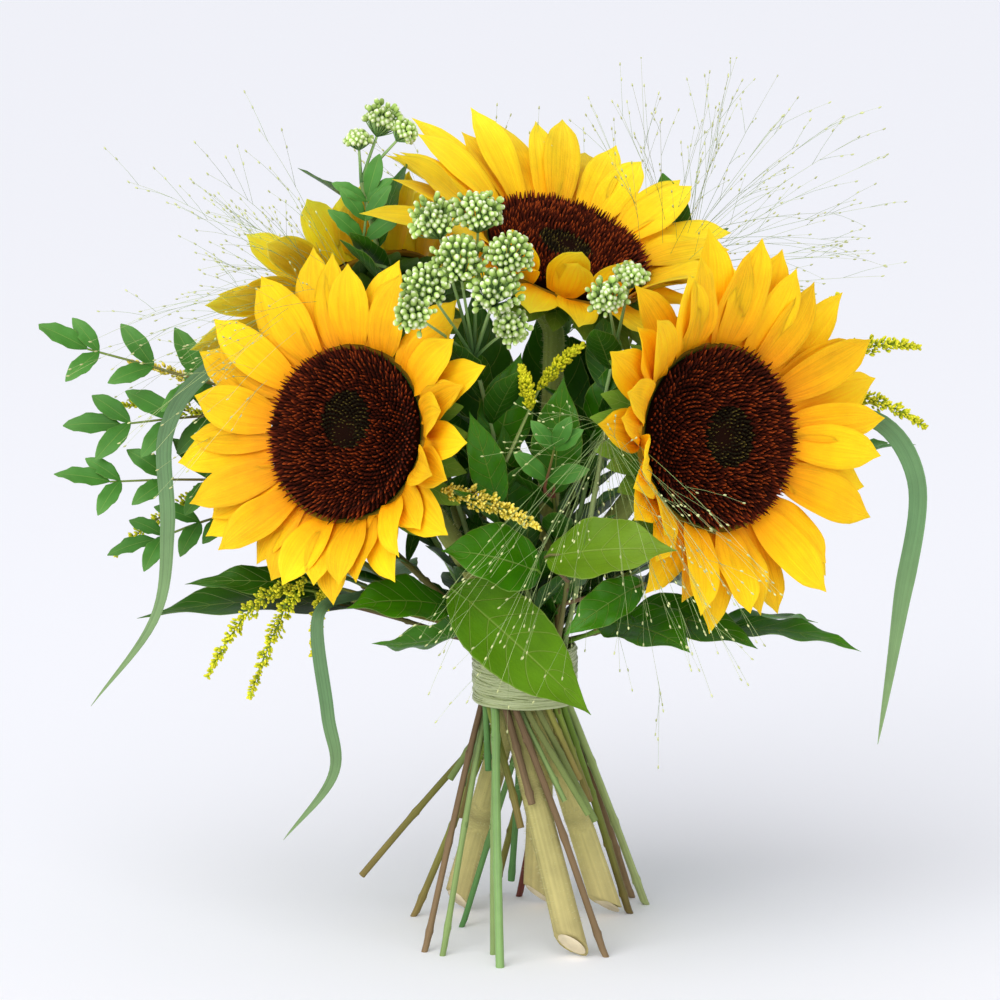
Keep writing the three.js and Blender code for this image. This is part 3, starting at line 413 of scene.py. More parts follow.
@dataclass(frozen=True)
class Template:
    """A small mesh whose corners are bent into place for each copy."""

    corners: Array
    faces: Tuple[Tuple[int, ...], ...]

    @staticmethod
    def taken(mesh: bmesh.types.BMesh) -> "Template":
        """Takes a bmesh's corners and faces, and frees it.

        Args:
            mesh: The shaped bmesh.

        Returns:
            The template.
        """
        bmesh.ops.recalc_face_normals(mesh, faces=mesh.faces)
        mesh.verts.ensure_lookup_table()
        corners = np.array([v.co[:] for v in mesh.verts])
        faces = tuple(tuple(v.index for v in f.verts) for f in mesh.faces)
        mesh.free()
        return Template(corners, faces)

    @staticmethod
    def sheet(across: int, along: int) -> "Template":
        """A thin closed sheet: x and y run from -1 to 1, and z is -1 below and 1 above.

        Args:
            across: Faces across.
            along: Faces along.

        Returns:
            The template.
        """
        mesh = bmesh.new()
        bmesh.ops.create_grid(mesh, x_segments=across, y_segments=along, size=1.0)
        lower = bmesh.ops.extrude_face_region(mesh, geom=mesh.faces[:])["geom"]
        moved = [v for v in lower if isinstance(v, bmesh.types.BMVert)]
        bmesh.ops.translate(mesh, verts=moved, vec=(0, 0, 1))
        bmesh.ops.translate(mesh, verts=mesh.verts, vec=(0, 0, -0.5))
        bmesh.ops.scale(mesh, verts=mesh.verts, vec=(1, 1, 2))
        return Template.taken(mesh)

    @staticmethod
    def rod(sides: int, rings: int) -> "Template":
        """A closed rod of radius 1 along z from 0 to 1.

        Args:
            sides: Sides of its section.
            rings: Stretches along it.

        Returns:
            The template.
        """
        mesh = bmesh.new()
        bmesh.ops.create_cone(mesh, cap_ends=True, segments=sides, radius1=1, radius2=1, depth=1)
        upright = [e for e in mesh.edges if abs(e.verts[0].co.z - e.verts[1].co.z) > 0.5]
        bmesh.ops.subdivide_edges(mesh, edges=upright, cuts=rings - 1, use_grid_fill=True)
        bmesh.ops.translate(mesh, verts=mesh.verts, vec=(0, 0, 0.5))
        return Template.taken(mesh)

    @staticmethod
    def ball(subdivisions: int) -> "Template":
        """A ball of radius 1.

        Args:
            subdivisions: How often its faces are divided.

        Returns:
            The template.
        """
        mesh = bmesh.new()
        bmesh.ops.create_icosphere(mesh, subdivisions=subdivisions, radius=1)
        return Template.taken(mesh)

    @staticmethod
    def bead(sides: int, rows: int) -> "Template":
        """A ball of radius 1 with few faces and its poles along z.

        Args:
            sides: Faces round it.
            rows: Rows of faces from pole to pole.

        Returns:
            The template.
        """
        mesh = bmesh.new()
        bmesh.ops.create_uvsphere(mesh, u_segments=sides, v_segments=rows, radius=1)
        return Template.taken(mesh)

    @staticmethod
    def spike(sides: int) -> "Template":
        """A closed spike of radius 1 along z from 0 to 1.

        Args:
            sides: Sides of its section.

        Returns:
            The template.
        """
        mesh = bmesh.new()
        bmesh.ops.create_cone(mesh, cap_ends=True, segments=sides, radius1=1, radius2=0.12, depth=1)
        bmesh.ops.translate(mesh, verts=mesh.verts, vec=(0, 0, 0.5))
        return Template.taken(mesh)


@dataclass
class Piece:
    """Collects bent copies of templates and makes one object of them."""

    name: str
    corners: List[Array] = field(default_factory=list)
    forms: List[Array] = field(default_factory=list)
    faces: List[Tuple[int, ...]] = field(default_factory=list)
    marks: List[int] = field(default_factory=list)
    finishes: List[Finish] = field(default_factory=list)
    total: int = 0

    def add(self, template: Template, corners: Array, form: Array, finish: Finish) -> None:
        """Adds one copy, in millimetres about the stems' axis.

        Args:
            template: The template whose faces the copy has.
            corners: Where the copy's corners lie.
            form: Across, along and tone at each corner.
            finish: The copy's finish.
        """
        if finish not in self.finishes:
            self.finishes.append(finish)
        start = self.total
        self.corners.append(corners)
        self.forms.append(form)
        self.faces.extend(tuple(start + i for i in f) for f in template.faces)
        self.marks.extend([self.finishes.index(finish)] * len(template.faces))
        self.total += len(corners)

    def made(self, *nodes: str) -> bpy.types.Object:
        """Makes the object and lets it stand for its CAD nodes.

        Args:
            nodes: The CAD nodes that it replaces.

        Returns:
            The finished object.
        """
        mesh = bpy.data.meshes.new(self.name)
        corners = (np.concatenate(self.corners) + axis_offset()) * MM
        corners[:, 2] = np.maximum(corners[:, 2], 0.0)
        mesh.from_pydata(corners.tolist(), [], self.faces)
        form = mesh.attributes.new("form", "FLOAT_VECTOR", "POINT")
        form.data.foreach_set("vector", np.concatenate(self.forms).ravel())
        for finish in self.finishes:
            mesh.materials.append(finish.material())
        mesh.polygons.foreach_set("material_index", self.marks)
        mesh.shade_smooth()
        mesh.set_sharp_from_angle(angle=math.radians(55))
        mesh.update()
        made = bpy.data.objects.new(self.name, mesh)
        bpy.context.scene.collection.objects.link(made)
        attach(made, "root")
        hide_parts(*nodes)
        LOG.info("%s: %d faces", self.name, len(self.faces))
        return made


def axis_offset() -> Array:
    """Where the stems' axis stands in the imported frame, in millimetres."""
    low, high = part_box("raffia_tie")
    return array(((low[0] + high[0]) / 2, (low[1] + high[1]) / 2, 0)) / MM


# Lines.

def cubic_line(points: Sequence[Array], steps: int) -> Array:
    """A smooth line through points.

    Args:
        points: The points that it passes.
        steps: Equal steps of its parameter.

    Returns:
        Points along it, one row each.
    """
    p = [array(q) for q in points]
    p = [2 * p[0] - p[1]] + p + [2 * p[-1] - p[-2]]
    rows = []
    for step in range(steps + 1):
        reach = step / steps * (len(p) - 3)
        i = min(int(reach), len(p) - 4)
        w = reach - i
        a, b, c, d = p[i:i + 4]
        t0, t1 = 0.5 * (c - a), 0.5 * (d - b)
        bend = (-3 * b + 3 * c - 2 * t0 - t1) * w ** 2
        rows.append(b + t0 * w + bend + (2 * b - 2 * c + t0 + t1) * w ** 3)
    return np.array(rows)


def bowed(base: Sequence[float], tip: Sequence[float], face: Array, bow: float, steps: int) -> Array:
    """A line from base to tip whose middle stands off by bow along the face's direction.

    Args:
        base: Its start.
        tip: Its end.
        face: The direction that it bows to.
        bow: How far its middle stands off.
        steps: Equal steps along it.

    Returns:
        Points along it, one row each.
    """
    a, c = array(base), array(tip)
    return quadratic(a, (a + c) / 2 + 2 * bow * face, c, steps)


def quadratic(a: Array, b: Array, c: Array, steps: int) -> Array:
    """Points along the quadratic curve from a to c that b pulls."""
    t = np.linspace(0, 1, steps + 1)[:, None]
    return (1 - t) ** 2 * a + 2 * t * (1 - t) * b + t ** 2 * c


def evened(points: Array, steps: int) -> Array:
    """The same line in steps of equal length.

    Args:
        points: Points along the line.
        steps: How many steps it gets.

    Returns:
        Points along it, one row each.
    """
    lengths = np.concatenate([[0], np.cumsum(np.linalg.norm(np.diff(points, axis=0), axis=1))])
    at = np.linspace(0, lengths[-1], steps + 1)
    return np.stack([np.interp(at, lengths, points[:, k]) for k in range(3)], axis=1)


def directions(points: Array) -> Array:
    """The line's direction at each of its points.

    Args:
        points: Points along the line.

    Returns:
        One direction for each point.
    """
    ahead = np.vstack([points[1:], points[-1:]])
    behind = np.vstack([points[:1], points[:-1]])
    return unit(ahead - behind)


def bent_rod(points: Array, radii: Array, template: Template, tone: float) -> Tuple[Array, Array]:
    """Bends a rod template along a line.

    Args:
        points: The line, with one row for each ring of the template.
        radii: The radius at each row, or at each row and side.
        template: A rod template with as many rings.
        tone: The copy's own tone.

    Returns:
        The corners and their form.
    """
    along = directions(points)
    aside = UP if abs(along[0][2]) < 0.9 else array((1, 0, 0))
    normals = [unit(np.cross(aside, along[0]))]
    for tangent in along[1:]:
        carried = normals[-1] - np.dot(normals[-1], tangent) * tangent
        normals.append(unit(carried))
    normal = np.array(normals)
    binormal = np.cross(along, normal)
    x, y, z = template.corners.T
    ring = np.clip(np.rint(z * (len(points) - 1)).astype(int), 0, len(points) - 1)
    r = radii[ring] if radii.ndim == 1 else radii[ring, side_numbers(template, radii.shape[1])]
    corners = points[ring] + normal[ring] * (x * r)[:, None] + binormal[ring] * (y * r)[:, None]
    form = np.stack([np.arctan2(y, x) / math.pi, z, np.full(len(x), tone)], axis=1)
    return corners, form


def side_numbers(template: Template, sides: int) -> Array:
    """Which side of its section each of a rod template's corners is on."""
    x, y, _ = template.corners.T
    return np.rint(np.arctan2(y, x) / (2 * math.pi) * sides).astype(int) % sides


@dataclass(frozen=True)
class Leafage:
    """How a flat leaf, petal or blade is shaped from its line."""

    width: float
    shape: Callable[[Array], Array]
    cup: float = 0.12
    ridges: float = 0.0
    wave: float = 0.0
    waves: float = 3.0
    twist: float = 0.0
    thick: float = 0.7
    teeth: float = 0.0

    def bent(self, line: Array, face: Array, template: Template, tone: float) -> Tuple[Array, Array]:
        """Bends a sheet template along a line.

        Args:
            line: The midrib, evenly spaced.
            face: The direction that its face looks to.
            template: A sheet template.
            tone: The copy's own tone.

        Returns:
            The corners and their form.
        """
        x, y, z = template.corners.T
        t = (y + 1) / 2
        at = t * (len(line) - 1)
        low = np.clip(at.astype(int), 0, len(line) - 2)
        share = (at - low)[:, None]
        along = directions(line)
        point = line[low] * (1 - share) + line[low + 1] * share
        tangent = unit(along[low] * (1 - share) + along[low + 1] * share)
        side = unit(np.cross(tangent, np.broadcast_to(face, tangent.shape)))
        normal = np.cross(side, tangent)
        turn = (self.twist * (t - 0.3))[:, None]
        turned = side * np.cos(turn) + normal * np.sin(turn)
        side, normal = turned, normal * np.cos(turn) - side * np.sin(turn)
        half = self.width / 2 * self.shape(t) * (1 + self.teeth * np.sin(t * 96) * np.abs(x) ** 6)
        lift = self.cup * half * x ** 2
        lift += self.ridges * np.cos(x * 3 * math.pi) * np.minimum(1, half / 3) * np.sin(math.pi * t)
        phase = self.waves * 2 * math.pi * t + 9 * tone + np.sign(x) * 0.8
        lift += self.wave * np.sin(phase) * x ** 2 * np.minimum(1, half / 4)
        rim = np.sqrt(np.maximum(0, 1 - np.abs(x) ** 4)) * np.clip((1 - t) * 12, 0.15, 1)
        lift += z * self.thick / 2 * np.maximum(rim, 0.12)
        corners = point + side * (x * half)[:, None] + normal * lift[:, None]
        return corners, np.stack([x, t, np.full(len(x), tone)], axis=1)


def petal_shape(t: Array) -> Array:
    """A petal's width at each share of its length."""
    body = 0.42 + 0.58 * np.sin(math.pi * np.minimum(1, t * 0.92 + 0.06)) ** 0.8 - 0.36 * t ** 4
    return body * np.minimum(1, np.maximum(0, (1.002 - t) * 5.5)) ** 0.62


def ovate_shape(t: Array) -> Array:
    """A broad leaf's width at each share of its length."""
    body = np.maximum(0.015, np.sin(math.pi * np.clip(t, 0, 1) ** 0.72)) ** 0.85
    return body * np.clip((1 - t) / 0.3, 0.02, 1) ** 0.5


def leaflet_shape(t: Array) -> Array:
    """A leaflet's width at each share of its length."""
    return np.maximum(0.02, np.sin(math.pi * np.clip(t, 0, 1) ** 0.95)) ** 0.75


def lance_shape(t: Array) -> Array:
    """A narrow leaf's width at each share of its length."""
    return np.maximum(0.02, np.sin(math.pi * np.clip(t, 0, 1) ** 0.9)) ** 0.8


def strap_shape(t: Array) -> Array:
    """A grass blade's width at each share of its length."""
    return np.minimum(1, 0.55 + t * 1.4) * np.minimum(1, np.maximum(0.01, (1 - t) * 2.6)) ** 0.8


# The stems' courses, settled side by side as the solids are.

@dataclass(frozen=True)
class StemPlan:
    """A stem's foot, its place in the tie, what it passes, its top and its thickness."""

    foot: Optional[Point]
    neck: Array
    via: Tuple[Point, ...]
    top: Point
    width: float = 0.0

    def start(self) -> Array:
        """Its lowest point: a short stem keeps turning with the spiral below the tie.

        Returns:
            Where the stem begins.
        """
        if self.foot:
            return array(self.foot)
        angle = math.degrees(math.atan2(self.neck[1], self.neck[0])) + 24
        return polar(math.hypot(self.neck[0], self.neck[1]), angle, SHORT_END_Z)

    def radius(self, z: float) -> float:
        """Its radius at a height.

        Args:
            z: The height.

        Returns:
            The radius: a sunflower's stem is thickest at its foot, a thin one even.
        """
        if self.width:
            return self.width / 2
        if z < NECK_Z:
            return (STEM_FOOT_D + (STEM_NECK_D - STEM_FOOT_D) * z / NECK_Z) / 2
        return (STEM_NECK_D + (STEM_HEAD_D - STEM_NECK_D) * (z - NECK_Z) / 100) / 2


def ring_slot(number: int) -> Array:
    """A place in the outer ring of the tie."""
    return polar(THIN_RING_R, -152 + 360 / THIN_SLOTS * number, NECK_Z)


def groove(number: int) -> Array:
    """A place between two sunflower stems in the tie."""
    return polar(GROOVE_R, -120 + 90 * number, NECK_Z)


def core(number: int) -> Array:
    """A sunflower stem's place in the tie."""
    return polar(THICK_RING_R, -165 + 90 * number, NECK_Z)


STEMS: Dict[str, StemPlan] = {
    "sunflower_back_left": StemPlan(
        (22, -45, 0), core(0), ((-16, 6, 156), (-34, 16, 198)), (-58, 26, 246)),
    "sunflower_left": StemPlan((40, 26, 0), core(1), ((-10, -14, 156),), (-48, -10, 204)),
    "sunflower_top": StemPlan((6, 44, 0), core(2), ((9, -8, 162), (11, -6, 216)), (13, 12, 270)),
    "sunflower_right": StemPlan((-32, 34, 0), core(3), ((12, 8, 156),), (52, 0, 204)),
    "grass_left": StemPlan(None, groove(0), ((-20, -12, 174), (-42, -4, 228)), (-66, 2, 282), 2.7),
    "bud_spray_front": StemPlan(
        None, groove(1), ((2, -26, 168), (-10, -38, 216)), (-22, -46, 264), 3.4),
    "bud_spray_right": StemPlan(
        (-28, 8, 0), groove(2), ((20, -18, 174), (30, -38, 228)), (38, -52, 270), 3),
    "grass_right": StemPlan(
        (-14, -36, 0), groove(3), ((14, 22, 168), (34, 30, 222)), (52, 40, 276), 3),
    "bud_spray_top_left": StemPlan(
        (-6, -2, 24), array((0, 0, NECK_Z)), ((-18, 10, 180), (-46, 2, 252), (-71, -4, 306)),
        (-71, -6, 336), 3.2),
    "pistacia_top_left": StemPlan(
        (-11, -56, 0), ring_slot(0), ((-30, 2, 174), (-46, -8, 240)), (-60, -16, 300), 4.2),
    "long_leaf_left": StemPlan(None, ring_slot(1), ((-32, -6, 138),), (-70, -12, 150), 3.6),
    "goldenrod_left": StemPlan((35, -40, 0), ring_slot(2), ((-36, 4, 156),), (-106, 40, 210), 3.4),
    "pistacia_left_lower": StemPlan(None, ring_slot(3), ((-34, -8, 144),), (-112, 20, 192), 3.4),
    "pistacia_left_upper": StemPlan(None, ring_slot(4), ((-36, -4, 156),), (-116, 22, 222), 3.4),
    "goldenrod_left_low": StemPlan(None, ring_slot(5), ((-30, -26, 144),), (-82, -26, 168), 3.4),
    "broad_leaf_front_left": StemPlan(None, ring_slot(6), (), (-20, -34, 150), 3.6),
    "broad_leaf_front": StemPlan((47, 30, 0), ring_slot(7), (), (-8, -40, 162), 3.8),
    "goldenrod_centre": StemPlan((56, 46, 0), ring_slot(8), ((4, -34, 162),), (-16, -52, 204), 4),
    "broad_leaf_front_right": StemPlan((50, 58, 0), ring_slot(9), (), (18, -46, 168), 3.6),
    "grass_front": StemPlan(None, ring_slot(10), ((26, -30, 174),), (34, -62, 240), 2.8),
    "pistacia_centre": StemPlan((-2, 60, 0), ring_slot(11), ((24, -22, 162),), (12, -42, 204), 3.4),
    "broad_leaf_right": StemPlan((-14, 62, 0), ring_slot(12), (), (36, -22, 144), 3.6),
    "broad_leaf_right_low": StemPlan(None, ring_slot(13), ((40, 4, 138),), (80, -4, 140), 3.6),
    "goldenrod_right": StemPlan((-74, 30, 18), ring_slot(14), ((34, 14, 156),), (118, 12, 222), 3.4),
    "broad_leaf_back_right": StemPlan((-50, 26, 0), ring_slot(15), ((26, 26, 138),), (52, 34, 150), 3.6),
    "pistacia_back": StemPlan(None, ring_slot(16), ((24, 30, 156),), (84, 36, 186), 3.4),
    "bud_spray_back_right": StemPlan(None, ring_slot(17), ((16, 34, 162),), (32, 48, 240), 3.2),
    "broad_leaf_back": StemPlan(None, ring_slot(18), ((6, 34, 138),), (14, 60, 156), 3.6),
    "grass_back": StemPlan(
        (-36, -38, 0), ring_slot(19), ((-2, 36, 168), (-6, 50, 222)), (-12, 66, 270), 3),
    "goldenrod_back": StemPlan((-44, -32, 0), ring_slot(20), ((-10, 38, 156),), (-22, 84, 204), 3.2),
    "bud_spray_back": StemPlan(None, ring_slot(21), ((-26, 30, 162),), (-64, 72, 204), 3.2),
    "broad_leaf_back_left": StemPlan(None, ring_slot(22), ((-32, 14, 138),), (-62, 34, 150), 3.6),
}


@dataclass
class Course:
    """A stem's x and y at each level."""

    plan: StemPlan
    first: int
    last: int
    at: Dict[int, List[float]]

    @staticmethod
    def rough(plan: StemPlan) -> "Course":
        """The unsettled course of a stem.

        Args:
            plan: The stem's plan.

        Returns:
            Its course before it makes room for the others.
        """
        foot = plan.start()
        line = cubic_line([foot, plan.neck, *plan.via, plan.top], 160)
        first, last = (int(math.floor(z / LEVEL + 0.5)) for z in (foot[2], plan.top[2]))
        at = {}
        for level in range(first, last + 1):
            row = line[int(np.argmin(np.abs(line[:, 2] - level * LEVEL)))]
            at[level] = [float(row[0]), float(row[1])]
        return Course(plan, first, last, at)

    def reach(self, level: int) -> float:
        """Half of the stem's width in a level cut.

        Args:
            level: The level's number.

        Returns:
            The half width, more where the stem leans.
        """
        low, high = max(self.first, level - 1), min(self.last, level + 1)
        a, b = self.at[low], self.at[high]
        run = math.hypot(b[0] - a[0], b[1] - a[1]) / max(LEVEL, (high - low) * LEVEL)
        return self.plan.radius(level * LEVEL) * min(1.45, math.hypot(1, run))

    def weight(self, level: int) -> float:
        """How far the stem gives way.

        Args:
            level: The level's number.

        Returns:
            Its share: least at its ends, and less for a thick stem.
        """
        if level in (self.first, self.last):
            return 0.05
        return 1.0 if self.plan.width else 0.35

    def points(self) -> Array:
        """The course as rows of points."""
        return np.array([[*self.at[level], level * LEVEL] for level in range(self.first, self.last + 1)])


class Spiral:
    """The stems, settled side by side through the tie."""

    ROUNDS = 260
    FIRM_ROUNDS = 60
    # Levels by which a short stem is carried on below the tie, and how much that differs.
    LEAST_ON = 4
    SPREAD_ON = 5
    # The least gap beside a stem that is carried on, and how far it may bend aside in a level.
    LEAST_GAP = 0.6
    MOST_BEND = 2.5

    def __init__(self) -> None:
        """Settles all the stems."""
        self.courses = {name: Course.rough(plan) for name, plan in STEMS.items()}
        top = max(c.last for c in self.courses.values())
        crowd = {
            level: [c for c in self.courses.values() if c.first <= level <= c.last]
            for level in range(top + 1)}
        for number in range(self.ROUNDS):
            if number < self.ROUNDS - self.FIRM_ROUNDS:
                self.relax()
            for level, here in crowd.items():
                self.push_apart(here, level)
                self.keep_in_tie(here, level)
        for number, course in enumerate(self.courses.values()):
            if not course.plan.foot:
                self.carry_on(course, self.LEAST_ON + int(self.SPREAD_ON * draw(number, 31)))

    def relax(self) -> None:
        """Draws each stem towards a smooth course through its place in the tie."""
        for c in self.courses.values():
            for level in range(c.first + 1, c.last):
                p, q, r = c.at[level - 1], c.at[level], c.at[level + 1]
                q[0] += 0.25 * ((p[0] + r[0]) / 2 - q[0])
                q[1] += 0.25 * ((p[1] + r[1]) / 2 - q[1])
            at_neck = c.at[int(NECK_Z / LEVEL)]
            at_neck[0] += 0.3 * (c.plan.neck[0] - at_neck[0])
            at_neck[1] += 0.3 * (c.plan.neck[1] - at_neck[1])

    @staticmethod
    def push_apart(here: List[Course], level: int) -> None:
        """Moves stems that are too close at a level apart.

        Args:
            here: The stems that pass the level.
            level: The level's number.
        """
        rows = [(c.at[level], c.reach(level), c.weight(level)) for c in here]
        for i, (p, ra, wa) in enumerate(rows):
            for q, rb, wb in rows[i + 1:]:
                dx, dy = q[0] - p[0], q[1] - p[1]
                most = ra + rb + STEM_SPACE
                if dx * dx + dy * dy >= most * most:
                    continue
                gap = math.hypot(dx, dy) or 1e-6
                short = most - gap
                give = short / (gap * (wa + wb))
                p[0] -= dx * give * wa
                p[1] -= dy * give * wa
                q[0] += dx * give * wb
                q[1] += dy * give * wb

    @staticmethod
    def keep_in_tie(here: List[Course], level: int) -> None:
        """Holds stems inside the tie where it goes round them.

        Args:
            here: The stems that pass the level.
            level: The level's number.
        """
        if abs(level * LEVEL - NECK_Z) > TIE_HEIGHT / 2 + LEVEL:
            return
        for c in here:
            p = c.at[level]
            most = TIE_INNER_R - 2 * CLEARANCE - c.reach(level)
            r = math.hypot(p[0], p[1])
            if r > most:
                p[0] *= most / r
                p[1] *= most / r

    def carry_on(self, course: Course, levels: int) -> None:
        """Carries a short stem on below the tie, as long as it stays clear of the others.

        Args:
            course: The short stem's course.
            levels: How many levels further it may go.
        """
        for _ in range(levels):
            spot = self.spot_below(course)
            if spot is None:
                return
            course.first -= 1
            course.at[course.first] = spot

    def spot_below(self, course: Course) -> Optional[List[float]]:
        """Finds where a stem can go on one level down.

        Args:
            course: The stem's course.

        Returns:
            Its x and y there, or None where the others leave it no room.
        """
        level = course.first - 1
        here, above = course.at[course.first], course.at[course.first + 1]
        ahead = np.array([2 * here[0] - above[0], 2 * here[1] - above[1]])
        spot = ahead.copy()
        reach = 1.2 * course.plan.radius(level * LEVEL)
        others = [(np.array(o.at[level]), o.reach(level) + reach) for o in self.courses.values()
                  if o is not course and level in o.at]
        for _ in range(8):
            for place, least in others:
                away = spot - place
                gap = float(np.linalg.norm(away)) + 1e-6
                if gap < least + STEM_SPACE:
                    spot = place + away * (least + STEM_SPACE) / gap
        clear = min(float(np.linalg.norm(spot - place)) - least for place, least in others)
        if clear < self.LEAST_GAP or float(np.linalg.norm(spot - ahead)) > self.MOST_BEND:
            return None
        return [float(spot[0]), float(spot[1])]

    def branch_point(self, name: str, base: Sequence[float]) -> Array:
        """Where a piece of a sprig leaves its stem.

        Args:
            name: The sprig's name.
            base: Where the piece itself begins.

        Returns:
            A point on the stem.
        """
        target = array(base)
        points = self.courses[name].points()
        above = points[points[:, 2] > NECK_Z + TIE_HEIGHT / 2 + LEVEL]
        run = np.hypot(above[:, 0] - target[0], above[:, 1] - target[1])
        near = above[above[:, 2] <= target[2] - 0.25 * run]
        options = near if len(near) else points[-1:]
        return options[int(np.argmin(np.linalg.norm(options - target, axis=1)))]

    def top(self, name: str) -> Array:
        """The top of a stem."""
        return self.courses[name].points()[-1]


# Sunflowers.

@dataclass(frozen=True)
class Crowd:
    """A side on which a bloom's petals stand up and are shorter."""

    at: float
    spread: float
    lift: float
    shorten: float


@dataclass(frozen=True)
class PetalLayer:
    """One ring of petals: how it is turned, leans and sits, and how large its petals are."""

    shift: float
    lean: float
    length: float
    depth: float
    width: float = 1.0
    behind: bool = False


@dataclass(frozen=True)
class BractRow:
    """One ring of bracts on the back of a head: where it begins and how its bracts lie."""

    count: int
    shift: float
    reach: float
    depth: float
    slope: float
    length: float
    width: float
    bow: float


@dataclass
class Sunflower:
    """One bloom: its petals, its seed disc, and its stem with the green back of the head."""

    name: str
    centre: Point
    facing: Point
    size: float
    seed: float
    cup: float
    crowd: Tuple[Crowd, ...]
    face: Finish = PETAL_FACE
    spot: Tuple[float, float] = (2.0, -6.0)
    spot_r: float = 13.0
    outer: float = 1.0
    florets: int = 1500
    hairs: int = 2600

    def axes(self) -> Tuple[Array, Array, Array]:
        """The bloom's own directions.

        Returns:
            Across, up and facing.
        """
        z = unit(array(self.facing))
        x = unit(np.cross(UP, z))
        return x, np.cross(z, x), z

    def placed(self, corners: Array) -> Array:
        """Corners in the bloom's own frame, put in place."""
        x, y, z = self.axes()
        return array(self.centre) + self.size * corners @ np.stack([x, y, z])

    def crowding(self, angle: float) -> Tuple[float, float]:
        """How much petals at an angle stand up, and how much shorter they are.

        Args:
            angle: The petals' angle on the disc.

        Returns:
            The lift in degrees and the share of length that is lost.
        """
        lift = shorten = 0.0
        for c in self.crowd:
            away = (angle - c.at) % 360
            away = (away + 180) % 360 - 180
            share = math.exp(-((away / c.spread) ** 2))
            lift += c.lift * share
            shorten += c.shorten * share
        return lift, shorten

    def petal(self, piece: Piece, layer: int, number: int) -> None:
        """Adds one petal.

        Args:
            piece: The petals' piece.
            layer: The number of its layer.
            number: Its number in the layer.
        """
        ring = PETAL_LAYERS[layer]
        key = self.seed + layer * 40 + number
        angle = (number + ring.shift) * 360 / PETALS_PER_LAYER + jitter(key, 1, 3.5) + self.seed
        lift, shorten = self.crowding(angle)
        if ring.behind:
            lift *= self.outer
        lean = ring.lean + jitter(key, 2, 4) + lift + self.cup
        length = PETAL_LENGTH * (1 + jitter(key, 3, 0.11)) * (1 - shorten) * ring.length
        out = polar(1, angle)
        root = out * (DISC_R + 2.6) + array((0, 0, ring.depth))
        across = np.cross(UP, out)

        def rise(degrees: float, reach: float) -> Array:
            """A point that far out from the root, at a slope."""
            slope = math.radians(degrees)
            return root + out * reach * math.cos(slope) + UP * reach * math.sin(slope)

        tip = rise(lean - 5 + jitter(key, 4, 5), length) + across * jitter(key, 5, 3.5)
        line = quadratic(root, rise(lean + 9, length * 0.5), tip, 20)
        slope = math.radians(lean)
        face = UP * math.cos(slope) - out * math.sin(slope)
        form = Leafage(
            PETAL_WIDTH * (1.05 + jitter(key, 6, 0.1)) * ring.width, petal_shape,
            cup=0.16 + jitter(key, 7, 0.12), ridges=0.42, wave=1.3 * draw(key, 8), waves=1.5,
            twist=jitter(key, 9, 0.45) + math.radians(lift) * jitter(key, 10, 0.9), thick=0.5,
        )
        corners, marks = form.bent(line, face, PETAL_SHEET, draw(key, 11))
        piece.add(PETAL_SHEET, self.placed(corners), marks, self.face)

    def petals(self) -> None:
        """Makes the petals and the thin green ring that holds them."""
        piece = Piece(self.name + "_petals_dressed")
        for layer in range(len(PETAL_LAYERS)):
            for number in range(PETALS_PER_LAYER):
                self.petal(piece, layer, number)
        ring = np.array([polar(DISC_R + 2.0, a, -5.4) for a in np.linspace(0, 360, 61)])
        corners, marks = bent_rod(ring, np.full(61, 1.7), HOOP, 0.5)
        piece.add(HOOP, self.placed(corners), marks, PETAL_RING)
        piece.made(self.name + "_petals")

    def disc(self) -> None:
        """Makes the seed disc: a dark bed with a turning spiral of florets."""
        piece = Piece(self.name + "_disc_dressed")
        rim = DISC_R * BED.corners[:, :2]
        bed = np.column_stack([rim, DISC_DEPTH * BED.corners[:, 2] - DISC_DEPTH])
        piece.add(BED, self.placed(bed), np.tile([0, 0.5, 0.5], (len(bed), 1)), DISC_BED)
        for number in range(self.florets):
            self.floret(piece, number)
        piece.made(self.name + "_disc")

    def floret(self, piece: Piece, number: int) -> None:
        """Adds one floret of the disc.

        Args:
            piece: The disc's piece.
            number: Its number, counted from the middle.
        """
        share = math.sqrt((number + 0.5) / self.florets)
        turn = number * FLORET_TURN
        place = polar(share * (DISC_R - 0.2), turn)
        inward = np.linalg.norm(place - array((self.spot[0], -self.spot[1], 0))) < self.spot_r
        size = 0.72 if inward else 0.92
        tall = 4.6 if share > 0.88 else 2.0 if inward else 3.2
        tall *= 0.75 + 0.5 * draw(self.seed, number)
        scatter = array((jitter(number, 1, 0.2), jitter(number, 2, 0.2), 0))
        lean = unit(UP + polar(0.95 * share ** 4, turn) + scatter)
        x = unit(np.cross(array((0, 1, 0.1)), lean))
        y = np.cross(lean, x)
        c = FLORET.corners
        root = place + array((0, 0, self.dome(share) - 2.9))
        flat = root + np.outer(c[:, 0] * size, x) + np.outer(c[:, 1] * size, y)
        corners = flat + np.outer(c[:, 2] * tall, lean)
        tone = draw(self.seed + 3, number)
        along = c[:, 2] * (0.5 + 0.5 * (tone > 0.55))
        marks = np.stack([np.zeros(len(c)), along, np.full(len(c), tone)], axis=1)
        piece.add(FLORET, self.placed(corners), marks, DISC_MIDDLE if inward else DISC_RIM)

    @staticmethod
    def dome(share: float) -> float:
        """The height of the disc's face at a share of its radius."""
        return -0.5 + 5 * math.sin(math.pi * min(1, share)) ** 0.7 + (1.5 if share > 0.9 else 0)

